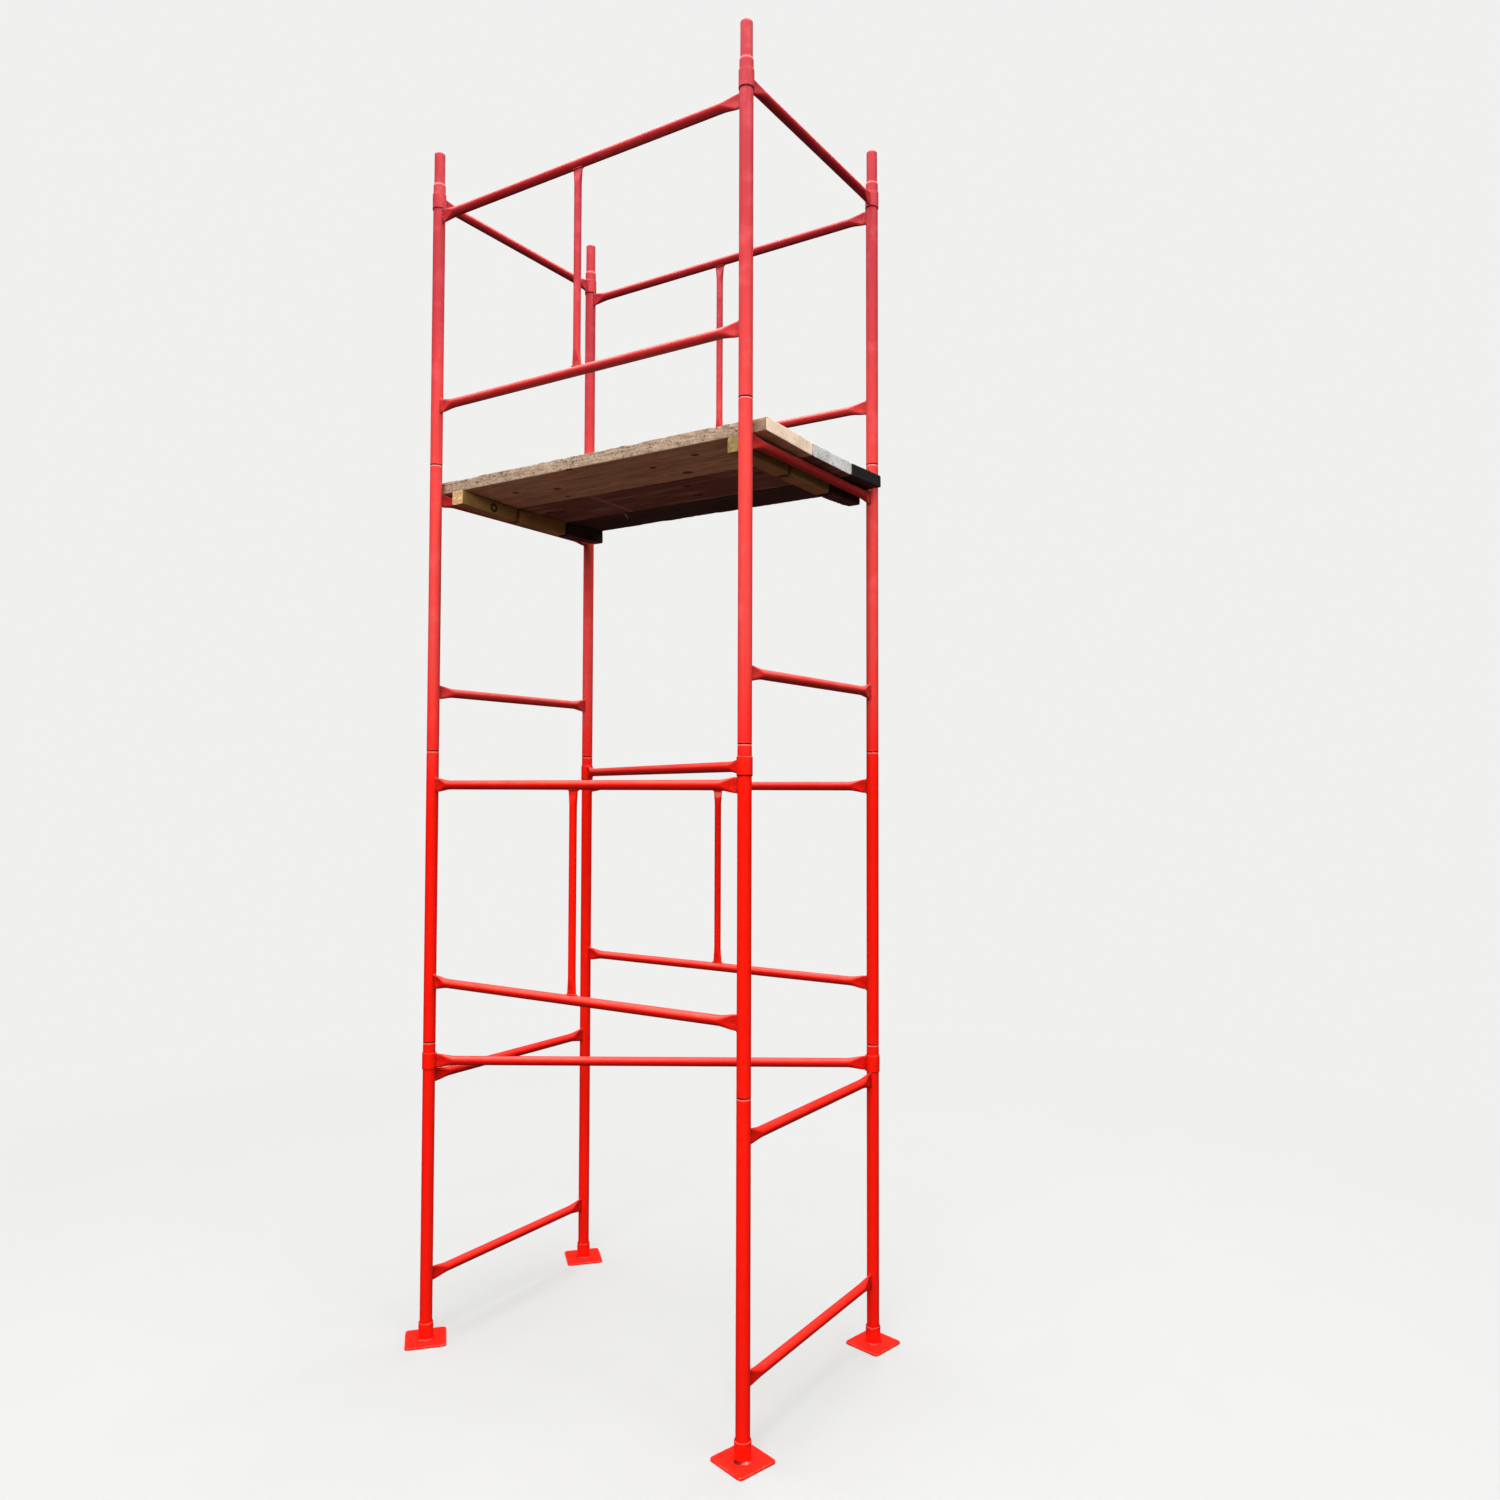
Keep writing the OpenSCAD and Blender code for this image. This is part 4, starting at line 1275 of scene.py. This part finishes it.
DECK = {
    "front": dict(
        board=dict(
            name="weathered_board", look=WEATHERED, seed=1.0, pith=(0.05, -0.045),
            ring_width=0.0046, knot_share=0.16, specks=0.9,
            knots=[(-0.367, -0.236, 0.0085), (-0.2207, -0.204, 0.0095),
                   (-0.248, -0.1236, 0.007), (0.3555, -0.2638, 0.0085),
                   (0.1773, -0.2268, 0.0085), (0.47, -0.15, 0.010)]),
        cleats=dict(
            name="pale_cleat", look=PALE_CLEAT, seed=4.0, pith=(0.2, 0.02),
            ring_width=0.0052, knot_share=0.2, specks=0.55,
            ring_mark=dict(y=-0.2108, z=2.6358, radius=0.0142)),
        top_chip=1.7, low_chip=0.55),
    "middle": dict(
        board=dict(
            name="splashed_board", look=SPLASHED, seed=2.0, pith=(-0.04, -0.06),
            ring_width=0.0039, knot_share=0.22, specks=0.85, stripes=[BAND],
            knots=[(-0.40, 0.02, 0.011), (0.12, 0.085, 0.012), (0.42, -0.03, 0.010)]),
        cleats=dict(
            name="brown_cleat", look=BROWN_CLEAT, seed=5.0, pith=(0.2, 0.03),
            ring_width=0.0047, knot_share=0.2, specks=0.5),
        top_chip=1.4, low_chip=0.8),
    "rear": dict(
        board=dict(
            name="dark_board", look=DARK, seed=3.0, pith=(0.02, -0.05),
            ring_width=0.0042, knot_share=0.2, specks=0.7, stripes=[SCRATCH]),
        cleats=dict(
            name="dark_cleat", look=DARK_CLEAT, seed=6.0, pith=(0.2, 0.02),
            ring_width=0.0045, knot_share=0.2, specks=0.5),
        top_chip=1.2, low_chip=0.9),
}


def deck_wood(node, settings):
    lo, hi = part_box(node)
    return wood(centre=(lo + hi) / 2, **settings)


for k, (row, parts) in enumerate(DECK.items()):
    board, cleats = row + "_deck_board", row + "_deck_cleats"
    board_wood = deck_wood(board, parts["board"])
    cleat_wood = deck_wood(cleats, parts["cleats"])
    turn = fit_turn(node_points(board)[:, 1:3], -6, 6, 2401)
    make_timbers(
        board, "timber", board_wood, turn, seed=11 + 7 * k, dims=(), along=0, edge=0.0026,
        chip=0.0042, rough=0.0005, top_chip=parts["top_chip"], low_chip=parts["low_chip"])
    make_timbers(
        cleats, "pair", cleat_wood, turn, seed=41 + 7 * k, dims=(0,), along=1, edge=0.0018,
        chip=0.0026, rough=0.0004, top_chip=1.0, low_chip=1.0)
    make_screws(row + "_deck_screws", turn)


# ---------------------------------------------------------------- stage
FLOOR_RADIUS, BEND_RADIUS = 7.0, 4.0
BACKDROP_TONE = srgb(240, 240, 239)


def floor_material():
    m = Shader("studio_floor")
    tone = m.noise(m.object_place(), scale=2.5, detail=4.0, rough=0.55)
    # pale to the eye, but it throws back less light, so undersides stay dark
    ray = m.node("LightPath")
    seen = Value(m, ray.outputs["Is Camera Ray"])
    pale = m.mix(tone, srgb(166, 166, 165), srgb(170, 170, 169))
    unseen = m.mix(ray.outputs["Is Glossy Ray"], srgb(78, 76, 72), srgb(36, 34, 33))
    grit = m.noise(m.object_place(), scale=60.0, detail=3.0)
    m.finish(Base_Color=m.mix(seen, unseen, pale), Roughness=0.9, Specular_IOR_Level=0.0,
             Normal=m.bump(grit, strength=0.05, distance=0.001))
    # away from the tower the eye sees one even tone, with no corner or fall-off
    distance = m.value("VectorMath", {0: m.object_place()}, output="Value", operation="LENGTH")
    far = distance.remap(span=(0.6, 5.0), to=(0.35, 1.0), soft=True) * seen
    glow = m.value("Emission", {"Color": BACKDROP_TONE, "Strength": 1.0})
    surface = m.value("MixShader", {0: far, 1: m.bsdf.outputs[0], 2: glow})
    m.put(m.output.inputs[0], surface)
    return m.material


def make_backdrop():
    """A round pale floor that curves up into a wall all round."""
    wall = FLOOR_RADIUS + BEND_RADIUS
    # radius, z, outwards from the centre point
    profile = [(1.5, 0.0), (4.0, 0.0), (FLOOR_RADIUS, 0.0)]
    for angle in np.linspace(0, math.pi / 2, 15)[1:]:
        profile.append((FLOOR_RADIUS + BEND_RADIUS * math.sin(angle),
                        BEND_RADIUS - BEND_RADIUS * math.cos(angle)))
    profile += [(wall, 6.0), (wall, 9.0), (wall, 13.0)]
    sides = 96
    points = [(0.0, 0.0, 0.0)]
    for radius, z in profile:
        for k in range(sides):
            angle = k / sides * TAU
            points.append((radius * math.cos(angle), radius * math.sin(angle), z))
    faces = [(0, 1 + k, 1 + (k + 1) % sides) for k in range(sides)]
    for i in range(len(profile) - 1):
        here, there = 1 + i * sides, 1 + (i + 1) * sides
        for j in range(sides):
            k = (j + 1) % sides
            faces.append((here + j, there + j, there + k, here + k))
    mesh = bpy.data.meshes.new("studio_floor")
    mesh.from_pydata(points, [], faces)
    mesh.shade_smooth()
    obj = bpy.data.objects.new("studio_floor", mesh)
    bpy.context.scene.collection.objects.link(obj)
    mesh.materials.append(floor_material())


make_backdrop()


# ---------------------------------------------------------------- lights
def area_light(name, place, target, size, power, glossy=False):
    light = bpy.data.lights.new(name, "AREA")
    light.shape = "RECTANGLE"
    light.size, light.size_y = size
    light.energy = power
    obj = bpy.data.objects.new(name, light)
    obj.location = place
    obj.visible_glossy = glossy
    obj.rotation_mode = "QUATERNION"
    aim = Vector(target) - Vector(place)
    obj.rotation_quaternion = aim.to_track_quat("-Z", "Y")
    bpy.context.scene.collection.objects.link(obj)


area_light("overhead", place=(0.2, -0.3, 9.2), target=(0, 0, 1.5), size=(9.5, 9.5),
           power=1600.0, glossy=True)
area_light("front_fill", place=(2.6, -6.2, 4.2), target=(0, 0, 0.7), size=(5.0, 2.6),
           power=500.0)
area_light("right_fill", place=(6.4, -0.6, 6.6), target=(0, 0, 1.2), size=(5.0, 3.0),
           power=190.0)
area_light("back_fill", place=(-0.5, 6.8, 7.2), target=(0, 0, 1.2), size=(6.0, 3.0),
           power=420.0)
area_light("left_fill", place=(-6.4, -1.2, 6.8), target=(0, 0, 1.2), size=(5.0, 3.0),
           power=150.0)


def make_world():
    """White light, and a camera's view of the backdrop's own tone."""
    world = bpy.data.worlds.new("studio")
    bpy.context.scene.world = world
    world.use_nodes = True
    nodes, links = world.node_tree.nodes, world.node_tree.links
    light = nodes["Background"]
    light.inputs["Color"].default_value = (1, 1, 1, 1)
    light.inputs["Strength"].default_value = 0.35
    seen = nodes.new("ShaderNodeBackground")
    seen.inputs["Color"].default_value = (*BACKDROP_TONE, 1.0)
    ray = nodes.new("ShaderNodeLightPath")
    mix = nodes.new("ShaderNodeMixShader")
    links.new(ray.outputs["Is Camera Ray"], mix.inputs[0])
    links.new(light.outputs[0], mix.inputs[1])
    links.new(seen.outputs[0], mix.inputs[2])
    links.new(mix.outputs[0], nodes["World Output"].inputs[0])


make_world()

# ---------------------------------------------------------------- camera
CAMERA_PLACE = (2.21243, -2.855, 1.71802)
YAW = math.radians(32.79)  # from +Y towards -X
PITCH = math.radians(1.97)  # upwards
ROLL = math.radians(0.15)


def make_camera():
    forward = Vector((-math.cos(PITCH) * math.sin(YAW),
                      math.cos(PITCH) * math.cos(YAW), math.sin(PITCH)))
    right = Vector((math.cos(YAW), math.sin(YAW), 0))
    up = right.cross(forward)
    rolled_right = math.cos(ROLL) * right + math.sin(ROLL) * up
    rolled_up = -math.sin(ROLL) * right + math.cos(ROLL) * up
    camera = bpy.data.objects.new("camera", bpy.data.cameras.new("camera"))
    camera.data.sensor_width = 36.0
    camera.data.lens = 27.2664
    camera.data.clip_start, camera.data.clip_end = 0.05, 100
    rotation = Matrix((rolled_right, rolled_up, -forward)).transposed()
    camera.matrix_world = Matrix.Translation(CAMERA_PLACE) @ rotation.to_4x4()
    bpy.context.scene.collection.objects.link(camera)
    bpy.context.scene.camera = camera


make_camera()
bpy.context.scene.view_settings.view_transform = "Standard"
bpy.context.scene.view_settings.look = "None"

bpy.context.view_layer.update()
